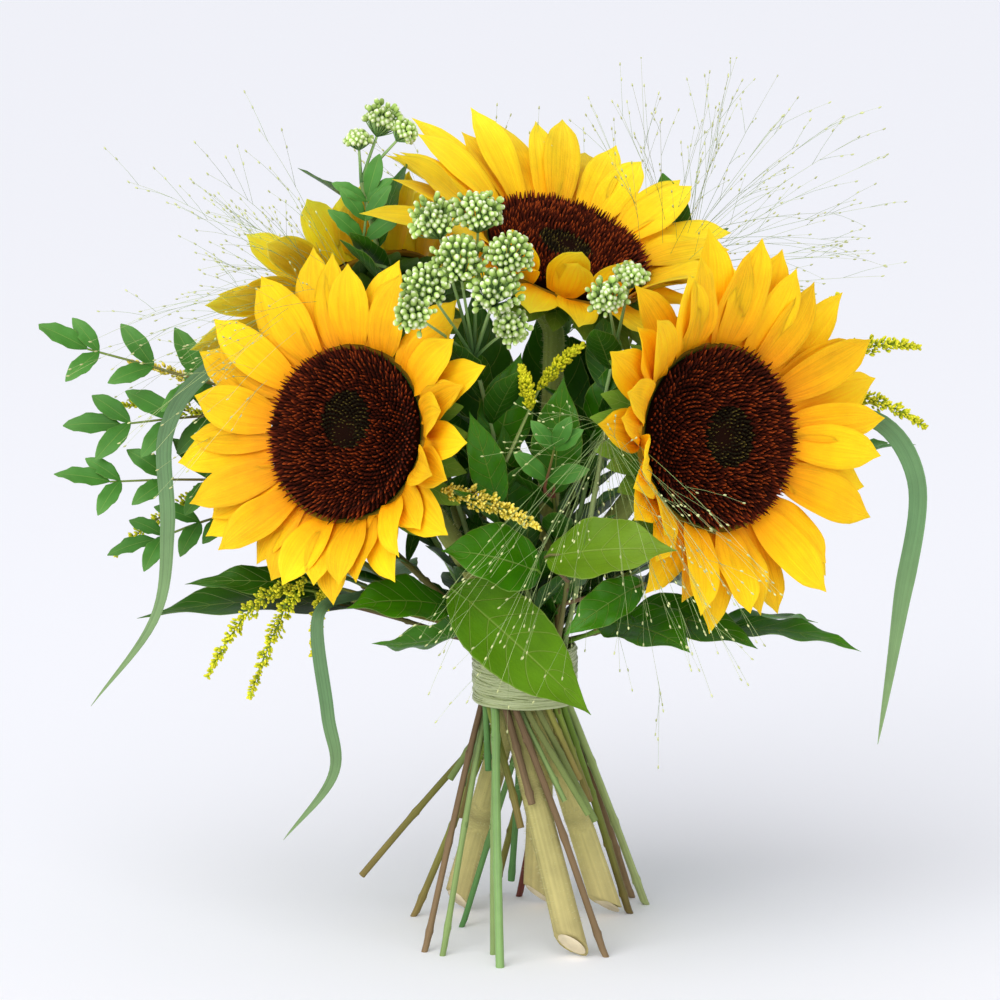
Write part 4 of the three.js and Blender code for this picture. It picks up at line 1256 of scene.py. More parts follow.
    def stem(self, spiral: Spiral) -> None:
        """Makes the stem, the green back of the head, its bracts and their fuzz.

        Args:
            spiral: The settled stems.
        """
        piece = Piece(self.name + "_stem_dressed")
        plan = STEMS[self.name]
        _, _, facing = self.axes()
        behind = [array(self.centre) - facing * d for d in (36, 24)]
        course = spiral.courses[self.name].points()
        line = smoothed(evened(np.vstack([course, np.array(behind)]), STALK_RINGS), 3)
        radii = np.array([plan.radius(p[2]) for p in line])
        first = 14 + int(16 * draw(self.seed, 9))
        rings = np.arange(STALK_RINGS + 1)
        knots = np.exp(-(((rings - first) / 1.1) ** 2)) + np.exp(-(((rings - first - 52) / 1.1) ** 2))
        turns = np.radians(np.arange(18) * 20)
        ribs = 0.018 * np.cos(5 * turns + self.seed) + 0.012 * np.cos(8 * turns)
        uneven = np.array([jitter(self.seed, i // 4, 0.012) for i in rings]) + 0.035 * knots
        sections = radii[:, None] * (0.965 + uneven[:, None] + ribs[None, :])
        corners, marks = bent_rod(line, sections, STALK, draw(self.seed, 77))
        worn = np.interp(marks[:, 1], np.linspace(0, 1, STALK_RINGS + 1), knots)
        marks = marks - np.outer(worn, array((0, 0, 0.55)))
        piece.add(STALK, self.cut(corners, course), marks, SUNFLOWER_STALK)
        self.pith(piece, course)
        self.back(piece)
        self.fuzz(piece, line, radii)
        piece.made(self.name + "_stem")

    def slant(self, corners: Array, foot: Array) -> Array:
        """The height of the slanted cut under or over each corner.

        Args:
            corners: Any corners near the foot.
            foot: The foot's place on the floor.

        Returns:
            The cut's height at each corner.
        """
        rising = polar(1, -140 + jitter(self.seed, 78, 35))
        return 0.95 * np.maximum((corners - foot) @ rising + STEM_FOOT_D / 2, 0)

    def cut(self, corners: Array, course: Array) -> Array:
        """Cuts the stem's end on a slant that begins on the floor.

        Args:
            corners: The upright-cut stem's corners.
            course: The stem's settled course.

        Returns:
            The corners, with the lowest drawn up to the slanted cut.
        """
        along = unit(course[2] - course[0])
        height = np.clip(corners[:, 2], 0, CUT_REACH)
        level = self.slant(corners, course[0])
        raised = level + height * (1 - level / CUT_REACH) - corners[:, 2]
        raised = np.where(corners[:, 2] < CUT_REACH, raised, 0)
        return corners + np.outer(raised / along[2], along)

    def pith(self, piece: Piece, course: Array) -> None:
        """Adds the pale pith that shows in the cut end.

        Args:
            piece: The stem's piece.
            course: The stem's settled course.
        """
        c = SPOT.corners
        flat = course[0] + np.stack([c[:, 0], c[:, 1], np.zeros(len(c))], axis=1) * 5.3
        corners = flat + np.outer(c[:, 2] * 0.4 - 0.25, UP)
        along = unit(course[2] - course[0])
        corners = corners + np.outer(self.slant(flat, course[0]) / along[2], along)
        piece.add(SPOT, corners, np.tile([0, 0.5, 0.5], (len(c), 1)), CUT_PITH)

    def back(self, piece: Piece) -> None:
        """Adds the cup behind the head and its pointed bracts.

        Args:
            piece: The stem's piece.
        """
        profile = np.array([
            [5.2, -29], [6.5, -26], [13, -19.5], [22, -16.5], [31, -12.6], [38.5, -7.6], [38.6, -6.6],
            [30, -6.8], [1, -6.8]])
        z = CUP.corners[:, 2] * (len(profile) - 1)
        r = np.interp(z, range(len(profile)), profile[:, 0])
        h = np.interp(z, range(len(profile)), profile[:, 1])
        corners = np.stack([CUP.corners[:, 0] * r, CUP.corners[:, 1] * r, h], axis=1)
        marks = np.stack([CUP.corners[:, 0], CUP.corners[:, 2], np.full(len(z), 0.5)], axis=1)
        piece.add(CUP, self.placed(corners), marks, HEAD_BACK)
        for row in BRACT_ROWS:
            for number in range(row.count):
                self.bract(piece, row, number)

    def bract(self, piece: Piece, row: BractRow, number: int) -> None:
        """Adds one pointed bract.

        Args:
            piece: The stem's piece.
            row: Its row.
            number: Its number in the row.
        """
        key = self.seed + 200 + 40 * row.reach + number
        out = polar(1, (number + row.shift) * 360 / row.count + jitter(key, 1, 5))
        slope = math.radians(row.slope + jitter(key, 2, 4))
        length = BRACT_LENGTH * row.length * (1 + jitter(key, 3, 0.16))
        root = out * row.reach + UP * row.depth
        tip = root + out * length * math.cos(slope) + UP * length * math.sin(slope)
        line = quadratic(root, (root + tip) / 2 + UP * row.bow, tip + UP * jitter(key, 4, 1.5), 12)
        form = Leafage(
            row.width, lance_shape, cup=0.16, ridges=0.3, wave=0.6, thick=0.6, twist=jitter(key, 5, 0.3))
        corners, marks = form.bent(line, UP, BRACT_SHEET, draw(key, 6))
        piece.add(BRACT_SHEET, self.placed(corners), marks, BRACT)

    def fuzz(self, piece: Piece, line: Array, radii: Array) -> None:
        """Adds fine pale hairs to the stem.

        Args:
            piece: The stem's piece.
            line: The stem's line.
            radii: Its radius along the line.
        """
        along = directions(line)
        for number in range(self.hairs):
            i = int(draw(self.seed + 5, number) * (len(line) - 3)) + 1
            if abs(line[i][2] - NECK_Z) < TIE_HEIGHT / 2 + 3:
                continue
            any_way = array((jitter(number, 3, 1), jitter(number, 4, 1), jitter(number, 5, 1)))
            aside = unit(np.cross(along[i], unit(any_way + 1e-3)))
            root = line[i] + along[i] * jitter(number, 6, 2) + aside * radii[i] * 0.93
            c = HAIR.corners
            x = unit(np.cross(along[i], aside))
            reach = 0.9 + 1.1 * draw(self.seed + 6, number)
            thin = np.outer(c[:, 0] * 0.07, x) + np.outer(c[:, 1] * 0.07, along[i])
            corners = root + thin + np.outer(c[:, 2] * reach, aside)
            if corners[:, 2].min() < 15:
                continue
            piece.add(HAIR, corners, np.stack([c[:, 0], c[:, 2], np.full(len(c), 0.5)], axis=1), FUZZ)


def smoothed(line: Array, rounds: int) -> Array:
    """The line with its small bends taken out and its ends kept.

    Args:
        line: Points along the line.
        rounds: How often it is smoothed.

    Returns:
        The smoother line.
    """
    for _ in range(rounds):
        line = np.vstack([line[:1], (line[:-2] + 2 * line[1:-1] + line[2:]) / 4, line[-1:]])
    return line


PETAL_LAYERS = (
    PetalLayer(0.0, 20.0, 0.94, -3.0),
    PetalLayer(0.5, 5.0, 1.04, -4.6, behind=True),
    PetalLayer(0.25, 14.0, 0.88, -3.8, width=0.9),
)
BRACT_ROWS = (
    BractRow(13, 0.0, 29.0, -10.5, -12.0, 0.96, 12.5, 1.6),
    BractRow(13, 0.5, 29.0, -12.0, -15.0, 0.84, 12.5, 1.6),
    BractRow(14, 0.2, 20.0, -18.4, 20.0, 0.82, 12.0, -1.4),
    BractRow(11, 0.6, 9.0, -23.6, 24.0, 0.72, 10.5, -1.4),
)
PETAL_SHEET = Template.sheet(8, 14)
BRACT_SHEET = Template.sheet(4, 8)
LEAF_SHEET = Template.sheet(14, 26)
LEAFLET_SHEET = Template.sheet(6, 10)
STRAP_SHEET = Template.sheet(4, 48)
STALK = Template.rod(18, STALK_RINGS)
SLIM_STALK = Template.rod(10, SLIM_RINGS)
TWIG = Template.rod(6, 10)
STRAND = Template.rod(3, 4)
HOOP = Template.rod(6, 60)
HAIR = Template.spike(3)
FLORET = Template.spike(6)
CUP = Template.rod(40, 16)
BED = Template.rod(40, 1)
SPOT = Template.rod(20, 1)
BUD = Template.bead(6, 5)
BAND = Template.rod(8, 72)
RIBBON = Template.sheet(3, 90)
GRAIN = Template.ball(1)
FLOWERET = Template.bead(5, 4)
WISP = Template.rod(3, 8)
WISPLET = Template.rod(3, 3)

BLOOMS = (
    Sunflower(
        "sunflower_left", (-78, -45, 232), (-0.5, -0.84, 0.22), 0.95, 11, 0,
        (Crowd(-15, 55, 32, 0.16), Crowd(62, 24, 0, 0.2), Crowd(265, 38, 12, 0.22))),
    Sunflower(
        "sunflower_right", (84, -45, 230), (0.57, -0.81, 0.12), 1.0, 23, 2,
        (Crowd(185, 48, 32, 0.12), Crowd(110, 30, 18, 0), Crowd(208, 20, 10, 0.15),
         Crowd(272, 34, 0, 0.12)),
        spot=(2, 0)),
    Sunflower(
        "sunflower_top", (19, 5, 308), (0.31, -0.42, 0.85), 0.94, 37, 8,
        (Crowd(246, 54, 48, 0.34), Crowd(165, 45, -4, -0.36), Crowd(100, 40, 0, -0.1),
         Crowd(40, 50, 0, -0.12)),
        face=PETAL_LEMON, spot=(-4, 2), outer=0.05),
    Sunflower(
        "sunflower_back_left", (-74, 48, 280), (-0.42, 0.6, 0.68), 0.88, 51, 6,
        # Its petals take the paler copy of the petal colours: painted light on the shaded bloom.
        (Crowd(122, 45, 30, 0.2),), face=PETAL_PAINTED_GLOW),
)


# Sprigs.

@dataclass(frozen=True)
class Leaf:
    """A broad leaf, from where its blade begins to its tip."""

    base: Point
    tip: Point
    face: Point
    width: float
    bow: float = 0.0
    finish: Optional[Finish] = None


@dataclass(frozen=True)
class Plume:
    """A goldenrod plume that arches from base to tip."""

    base: Point
    tip: Point
    bow: float
    radius: float = 4.4
    finish: Optional[Finish] = None


@dataclass(frozen=True)
class BudHead:
    """A rounded cluster of small buds."""

    centre: Point
    radius: float


@dataclass(frozen=True)
class Frond:
    """A leaf divided into leaflets along a rib."""

    base: Point
    tip: Point
    face: Point
    pairs: int
    bow: float = 0.0
    size: float = 25.0


@dataclass(frozen=True)
class Strap:
    """A long grass blade through points."""

    points: Tuple[Point, ...]
    face: Point
    width: float
    tone: float = 0.5


@dataclass(frozen=True)
class Panicle:
    """A fan of fine grass stalks with their seed."""

    to: Point
    fan: Point
    reach: float
    count: int
    sag: float
    seed: float
    stray: float = 1.0


@dataclass
class Sprig:
    """One stem of foliage or filler with all that it carries."""

    name: str
    stalk: Finish
    leaves: Tuple[Leaf, ...] = ()
    plumes: Tuple[Plume, ...] = ()
    buds: Tuple[BudHead, ...] = ()
    fronds: Tuple[Frond, ...] = ()
    straps: Tuple[Strap, ...] = ()
    panicle: Optional[Panicle] = None
    leaf_finish: Finish = BROAD_LEAF
    side_leaves: int = 0
    side_size: Tuple[float, float] = (28.0, 8.0)
    side_finish: Finish = DARK_LEAF
    plume_finish: Finish = GOLD_FLORET

    def build(self, spiral: Spiral) -> None:
        """Makes the sprig as one piece.

        Args:
            spiral: The settled stems.
        """
        piece = Piece(self.name + "_dressed")
        plan = STEMS[self.name]
        course = spiral.courses[self.name].points()
        if self.panicle:
            course = np.vstack([course, array(self.panicle.to)[None]])
        line = smoothed(evened(course, SLIM_RINGS), 3)
        if plan.foot and plan.foot[2] == 0:
            line[0] += unit(line[0] - line[2]) * 1.2
        end = 0.2 if self.panicle else 0.62
        taper = np.interp(
            np.linspace(0, 1, SLIM_RINGS + 1), [0, 0.6, 0.86, 1], [1.0, 0.95, 0.62, end])
        radii = plan.width / 2 * taper * (0.9 + 0.2 * self.knots())
        corners, marks = bent_rod(line, radii, SLIM_STALK, draw(plan.width, len(self.name)))
        piece.add(SLIM_STALK, corners, marks, self.stalk)
        self.scales(piece, line, radii)
        for number, leaf in enumerate(self.leaves):
            self.leaf(piece, leaf, spiral.branch_point(self.name, leaf.base), number)
        if self.side_leaves:
            self.leafy(piece, course)
        for number, plume in enumerate(self.plumes):
            self.plume(piece, plume, spiral.branch_point(self.name, plume.base), number)
        for number, head in enumerate(self.buds):
            self.bud_head(piece, head, spiral.top(self.name), number)
        for number, frond in enumerate(self.fronds):
            self.frond(piece, frond, spiral.branch_point(self.name, frond.base), number)
        for strap in self.straps:
            self.strap(piece, strap, spiral.branch_point(self.name, strap.points[0]))
        if self.panicle:
            self.seed_fan(piece, self.panicle, spiral.top(self.name))
        piece.made(self.name)

    def knots(self) -> Array:
        """How much the stem swells: at its nodes only.

        Returns:
            A share for each ring of the stem.
        """
        spread = 11 + int(6 * draw(len(self.name), 9))
        first = int(spread * draw(len(self.name), 8))
        away = [((i + first) % spread) - spread // 2 for i in range(SLIM_RINGS + 1)]
        return np.array([math.exp(-(steps / 0.8) ** 2) for steps in away])

    def scales(self, piece: Piece, line: Array, radii: Array) -> None:
        """Adds a small bud at each node of the bare stem.

        Args:
            piece: The sprig's piece.
            line: The stem's line.
            radii: Its radius along the line.
        """
        along = directions(line)
        knots = self.knots()
        for i in range(2, SLIM_RINGS - 1):
            if knots[i] < 0.9 or abs(line[i][2] - NECK_Z) < TIE_HEIGHT / 2 + 4:
                continue
            out = unit(np.cross(along[i], polar(1, 90 * i + 30)))
            place = line[i] + out * radii[i] * 0.8
            c = BUD.corners
            corners = place + 0.75 * (c + 1.1 * np.outer(c @ along[i], along[i]))
            if corners[:, 2].min() > 1:
                marks = np.stack([c[:, 0], 0.1 * c[:, 2] + 0.1, np.full(len(c), 0.2)], axis=1)
                piece.add(BUD, corners, marks, self.stalk)

    @staticmethod
    def twig(
            piece: Piece, points: Sequence[Array], radius: float, finish: Finish,
            thin: float = 0.7) -> None:
        """Adds a thin twig through points.

        Args:
            piece: The sprig's piece.
            points: What the twig passes.
            radius: Its radius where it begins.
            finish: Its finish.
            thin: The share of the radius that is left at its end.
        """
        line = evened(cubic_line(points, 20), 10)
        corners, marks = bent_rod(line, radius * np.linspace(1, thin, 11), TWIG, 0.5)
        piece.add(TWIG, corners, marks, finish)

    def leaf(self, piece: Piece, leaf: Leaf, branch: Array, number: int) -> None:
        """Adds a broad leaf with its stalk.

        Args:
            piece: The sprig's piece.
            leaf: The leaf.
            branch: Where its stalk leaves the stem.
            number: Its number on the sprig.
        """
        face = unit(array(leaf.face))
        line = bowed(leaf.base, leaf.tip, face, leaf.bow, 26)
        key = number + len(self.name)
        form = Leafage(
            leaf.width, ovate_shape, cup=0.2, wave=1.2, waves=2.5 + draw(key, 1), thick=0.7, ridges=0.12,
            teeth=0.014)
        corners, marks = form.bent(line, face, LEAF_SHEET, draw(key, 2))
        piece.add(LEAF_SHEET, self.inside(corners), marks, leaf.finish or self.leaf_finish)
        self.twig(piece, [branch, array(leaf.base), line[3]], 0.95, self.stalk, 0.6)

    def leafy(self, piece: Piece, course: Array) -> None:
        """Adds small leaves up the stem, in a turning spiral.

        Args:
            piece: The sprig's piece.
            course: The stem's settled course.
        """
        bare = course[course[:, 2] > NECK_Z + TIE_HEIGHT / 2 + 5]
        line = evened(bare, self.side_leaves)
        along = directions(line)
        length, width = self.side_size
        for number in range(self.side_leaves):
            key = number + 13 * len(self.name)
            out = polar(1, number * LEAF_TURN + 50 * len(self.name))
            away = unit(along[number] * 0.9 + out * (0.8 + jitter(key, 1, 0.3)))
            face = unit(np.cross(np.cross(away, UP), away) + out * 0.2)
            reach = length * (1 + jitter(key, 2, 0.25))
            tip = line[number] + away * reach + UP * jitter(key, 3, 3)
            spine = bowed(line[number], tip, face, 1.5 + jitter(key, 4, 1), 10)
            form = Leafage(
                width * (1 + jitter(key, 5, 0.2)), lance_shape, cup=0.2, wave=0.5, thick=0.6,
                twist=jitter(key, 6, 0.5))
            corners, marks = form.bent(spine, face, LEAFLET_SHEET, draw(key, 7))
            piece.add(LEAFLET_SHEET, self.inside(corners), marks, self.side_finish)

    def plume(self, piece: Piece, plume: Plume, branch: Array, number: int) -> None:
        """Adds a goldenrod plume: a stalk crowded with tiny florets.

        Args:
            piece: The sprig's piece.
            plume: The plume.
            branch: Where its stalk leaves the stem.
            number: Its number on the sprig.
        """
        line = bowed(plume.base, plume.tip, UP, plume.bow, 30)
        self.twig(piece, [branch, line[0], line[10], line[20], line[28]], 0.85, self.stalk, 0.35)
        along = directions(line)
        count = int(62 * plume.radius + 50)
        for item in range(count):
            key = item + 7 * number
            t = (item + draw(number, item)) / count
            i = min(29, int(t * 30))
            lobe = 0.72 + 0.28 * math.sin(t * 34 + 2 * math.pi * draw(number, 3))
            body = plume.radius * min(1, 0.35 + 2.2 * t) * (1 - 0.78 * t ** 2) * lobe
            x = unit(np.cross(along[i], UP + 1e-3))
            y = np.cross(along[i], x)
            turn = math.radians(item * LEAF_TURN)
            away = x * math.cos(turn) + y * math.sin(turn)
            reach = body * (0.25 + 0.95 * math.sqrt(draw(number + 9, key)))
            place = line[i] + along[i] * jitter(number + 5, item, 1.6) + away * reach
            point = unit(away + along[i] * 0.9 + UP * 0.5)
            size = 0.44 + 0.3 * draw(number + 7, key)
            c = FLOWERET.corners
            across = unit(np.cross(point, away + 1e-3))
            over = np.cross(point, across)
            flat = np.outer(c[:, 0], across) + np.outer(c[:, 1], over)
            corners = place + size * (flat + np.outer(c[:, 2] * 1.9, point))
            tone = np.full(len(c), draw(number + 3, key))
            marks = np.stack([c[:, 0], 0.5 + 0.5 * c[:, 2], tone], axis=1)
            piece.add(FLOWERET, corners, marks, plume.finish or self.plume_finish)

    def bud_head(self, piece: Piece, head: BudHead, branch: Array, number: int) -> None:
        """Adds a cluster of small round buds on fine stalks.

        Args:
            piece: The sprig's piece.
            head: The cluster.
            branch: Where its stalk leaves the stem.
            number: Its number on the sprig.
        """
        centre = array(head.centre)
        outward = unit(centre - branch)
        fork = centre - outward * head.radius * 0.75
        self.twig(piece, [branch, (branch + fork) / 2 + UP * 0.6, fork], 0.8, BUD_STALK)
        x = unit(np.cross(outward, array((0.3, 1, 0.2))))
        y = np.cross(outward, x)
        count = int(head.radius * 8.5)
        for item in range(count):
            share = (item + 0.5) / count
            open_angle = math.radians(98 * math.sqrt(share))
            turn = math.radians(item * LEAF_TURN + number * 40)
            spread = x * math.cos(turn) + y * math.sin(turn)
            away = outward * math.cos(open_angle) + spread * math.sin(open_angle)
            place = centre + away * head.radius * (0.6 + 0.5 * draw(number, item // 5))
            size = 1.05 + 0.45 * draw(number + 2, item)
            c = BUD.corners
            swell = c @ away
            corners = place + (c + np.outer(np.minimum(swell, 0.62), away) * 0.35) * size
            tip = np.clip(0.15 + 0.17 * (swell + 1) + 1.4 * np.clip(swell - 0.6, 0, 1), 0, 1)
            marks = np.stack([c[:, 0], tip, np.full(len(swell), draw(number + 4, item))], axis=1)
            piece.add(BUD, corners, marks, BUD_WHITE)
            line = np.linspace(fork, place, 5) + np.outer(np.sin(np.linspace(0, math.pi, 5)), away) * 0.6
            corners, marks = bent_rod(line, np.full(5, 0.3), STRAND, 0.5)
            piece.add(STRAND, corners, marks, BUD_STALK)

    def frond(self, piece: Piece, frond: Frond, branch: Array, number: int) -> None:
        """Adds a divided leaf: pairs of leaflets along a rib and one at its end.

        Args:
            piece: The sprig's piece.
            frond: The divided leaf.
            branch: Where its rib leaves the stem.
            number: Its number on the sprig.
        """
        face = unit(array(frond.face))
        rib = bowed(frond.base, frond.tip, face, frond.bow, 40)
        self.twig(piece, [branch, rib[0], rib[20], rib[40]], 0.8, self.stalk, 0.6)
        along = directions(rib)

        def leaflet(t: float, turn: float, reach: float, key: float) -> None:
            """Adds one leaflet.

            Args:
                t: Its share of the rib.
                turn: Its angle from the rib in degrees.
                reach: Its length.
                key: Its own number.
            """
            i = min(40, int(t * 40))
            turn, reach = turn + jitter(key, 3, 14), reach * (1.08 + jitter(key, 4, 0.1))
            across = unit(np.cross(along[i], face))
            out = along[i] * math.cos(math.radians(turn)) + across * math.sin(math.radians(turn))
            end = rib[i] + out * reach + face * reach * 0.08
            line = bowed(rib[i], end, face, 1.2, 10)
            form = Leafage(
                reach * 0.4, leaflet_shape, cup=0.2, wave=0.7, thick=0.6, ridges=0.08,
                twist=jitter(key, 1, 0.5))
            corners, marks = form.bent(line, face, LEAFLET_SHEET, draw(key, 2))
            piece.add(LEAFLET_SHEET, self.inside(corners), marks, LEAFLET)

        for pair in range(frond.pairs):
            t = 0.25 + (0.68 * pair) / max(1, frond.pairs - 1)
            for side in (-1, 1):
                turn = side * (52 + jitter(pair + frond.size, side, 8))
                leaflet(t, turn, frond.size * (1 - 0.12 * pair), number + pair * 3 + side)
        leaflet(1.0, 0, frond.size * 0.9, number + 50)

    def strap(self, piece: Piece, strap: Strap, branch: Array) -> None:
        """Adds a long grass blade.

        Args:
            piece: The sprig's piece.
            strap: The blade.
            branch: Where it leaves the stem.
        """
        line = evened(cubic_line(strap.points, 120), 96)
        form = Leafage(strap.width, strap_shape, cup=0.3, ridges=0.12, thick=0.6, wave=0.3, waves=3)
        corners, marks = form.bent(line, unit(array(strap.face)), STRAP_SHEET, strap.tone)
        piece.add(STRAP_SHEET, self.inside(corners), marks, BLADE_GREY)
        self.twig(piece, [branch, (branch + line[0]) / 2, line[2]], 0.95, self.stalk)

    def seed_fan(self, piece: Piece, fan: Panicle, start: Array) -> None:
        """Adds the fine stalks of a grass panicle with their seed.

        Args:
            piece: The sprig's piece.
            fan: The panicle.
            start: Where its rib begins.
        """
        main = unit(array(fan.fan))
        side = unit(np.cross(main, UP))
        over = np.cross(side, main)
        end_of_rib = array(fan.to)
        count = fan.count * 3
        for number in range(count):
            share = (number + 0.5) / count
            turn = math.radians(number * LEAF_TURN)
            wide = 1.0 if number % 4 else fan.stray
            open_angle = wide * math.radians(12 + 44 * math.sqrt(draw(fan.seed, number)))
            spoke = side * math.cos(turn) + over * math.sin(turn)
            direction = main * math.cos(open_angle) + spoke * math.sin(open_angle)
            root = start * (1 - share) + end_of_rib * share
            tip = root + direction * fan.reach * (0.55 + 0.45 * draw(fan.seed + 1, number)) / wide
            tip[2] -= fan.sag * (0.4 + 0.6 * draw(fan.seed + 2, number))
            line = quadratic(root, (root + tip) / 2 + UP * fan.sag * 0.3, self.inside(tip), 8)
            corners, marks = bent_rod(line, np.linspace(0.12, 0.07, 9), WISP, draw(fan.seed, number + 1))
            piece.add(WISP, corners, marks, GRASS)
            self.grain(piece, line[8], direction, number)
            for branch in range(3):
                self.branchlet(piece, line, direction, fan, number * 6 + branch)

    def branchlet(self, piece: Piece, line: Array, direction: Array, fan: Panicle, key: int) -> None:
        """Adds a fine side stalk of a panicle with a few seeds.

        Args:
            piece: The sprig's piece.
            line: The stalk that carries it.
            direction: The way that the stalk runs.
            fan: The panicle.
            key: Its own number.
        """
        at = 3.0 + 4.8 * draw(fan.seed + 3, key)
        i = int(at)
        root = line[i] * (1 - at + i) + line[i + 1] * (at - i)
        scatter = array([jitter(fan.seed + shift, key, 1) for shift in (4, 5, 6)])
        away = unit(direction + 0.42 * scatter)
        reach = fan.reach * (0.12 + 0.16 * draw(fan.seed + 7, key))
        tip = self.inside(root + away * reach - UP * reach * 0.12)
        twig = quadratic(root, (root + tip) / 2 + UP * reach * 0.06, tip, 3)
        corners, marks = bent_rod(twig, np.linspace(0.09, 0.055, 4), WISPLET, draw(fan.seed, key + 1))
        piece.add(WISPLET, corners, marks, GRASS)
        self.grain(piece, twig[3], away, key)
        self.grain(piece, twig[2] + scatter * 0.4, away, key + 1)

    @staticmethod
    def grain(piece: Piece, place: Array, along: Array, key: int) -> None:
        """Adds one seed that points along a stalk.

        Args:
            piece: The sprig's piece.
            place: Where the seed sits.
            along: The stalk's direction there.
            key: The seed's own number.
        """
        c = GRAIN.corners * 0.4
        corners = Sprig.inside(place + c + np.outer(c @ along, along) * 1.4)
        marks = np.stack([c[:, 0], (GRAIN.corners[:, 2] + 1) / 2, np.full(len(c), draw(key, 60))], axis=1)
        piece.add(GRAIN, corners, marks, GRASS_SEED)

    @staticmethod
    def inside(point: Array) -> Array:
        """A point, or each of several, kept inside the CAD model's box.

        Args:
            point: The point or points.

        Returns:
            The same, moved in where they stood out.
        """
        low = array(CAD_BOX[0]) / MM - axis_offset() + BOX_MARGIN
        high = array(CAD_BOX[1]) / MM - axis_offset() - BOX_MARGIN
        return np.minimum(np.maximum(point, low), high)


@dataclass
class RaffiaTie:
    """Flat strands of raffia, wound tightly round the stems."""

    strands: int = 56
    turns: int = 2

    def build(self) -> None:
        """Makes the wound strands over an inner band whose darker tone is painted shade in the gaps."""
        piece = Piece("raffia_tie_dressed")
        low = NECK_Z - 1 - TIE_HEIGHT / 2
        for number in range(self.strands):
            height = low + TIE_HEIGHT * (number + 0.5) / self.strands
            drift = 1.8 + 3.6 * draw(number, 1)
            angles = np.radians(np.linspace(0, 360 * self.turns, 91) + 360 * draw(number, 2))
            radius = TIE_INNER_R + 1.1 + 1.0 * draw(number, 3)
            radius = radius + 0.3 * np.sin(angles * 3 + number * 50) + 0.2 * np.sin(angles * 7)
            z = height + drift * np.sin(angles / 2 + number) + 1.1 * np.sin(angles - 0.6)
            z = np.clip(z, low - 1.0, low + TIE_HEIGHT + 1.0)
            line = np.stack([radius * np.cos(angles), radius * np.sin(angles), z], axis=1)
            self.ribbon(piece, line, 0.7 + 0.9 * draw(number, 4), 0.5 + jitter(number, 5, 1.3))
        self.inner_band(piece)
        piece.made("raffia_tie")

    @staticmethod
    def inner_band(piece: Piece) -> None:
        """Adds the band that closes the space under the strands, toned darker as painted shade where the
        strands part.

        Args:
            piece: The tie's piece.
        """
        middle = array((0, 0, NECK_Z - 1))
        ring = np.array([polar(TIE_INNER_R + 0.8, a) for a in np.linspace(0, 360, 73)])
        # Tone 0 makes the band darker than the strands: painted shade in the gaps between them.
        corners, marks = bent_rod(ring, np.full(73, 0.7), BAND, 0.0)
        corners[:, 2] *= (TIE_HEIGHT / 2 - 0.6) / 0.7
        piece.add(BAND, corners + middle, marks, RAFFIA)

    @staticmethod
    def ribbon(piece: Piece, line: Array, width: float, tone: float) -> None:
        """Adds one flat strand along a line round the stems.

        Args:
            piece: The tie's piece.
            line: The strand's line.
            width: Its width.
            tone: Its own tone.
        """
        x, y, z = RIBBON.corners.T
        i = np.rint((y + 1) / 2 * (len(line) - 1)).astype(int)
        out = unit(line[i] * array((1, 1, 0)))
        bulge = 0.22 * z + 0.55 * (1 - x ** 2)
        corners = line[i] + np.outer(x * width / 2, UP) + out * bulge[:, None]
        form = np.stack([x, (y + 1) / 2 * 0.999, np.full(len(x), tone)], axis=1)
        piece.add(RIBBON, corners, form, RAFFIA)


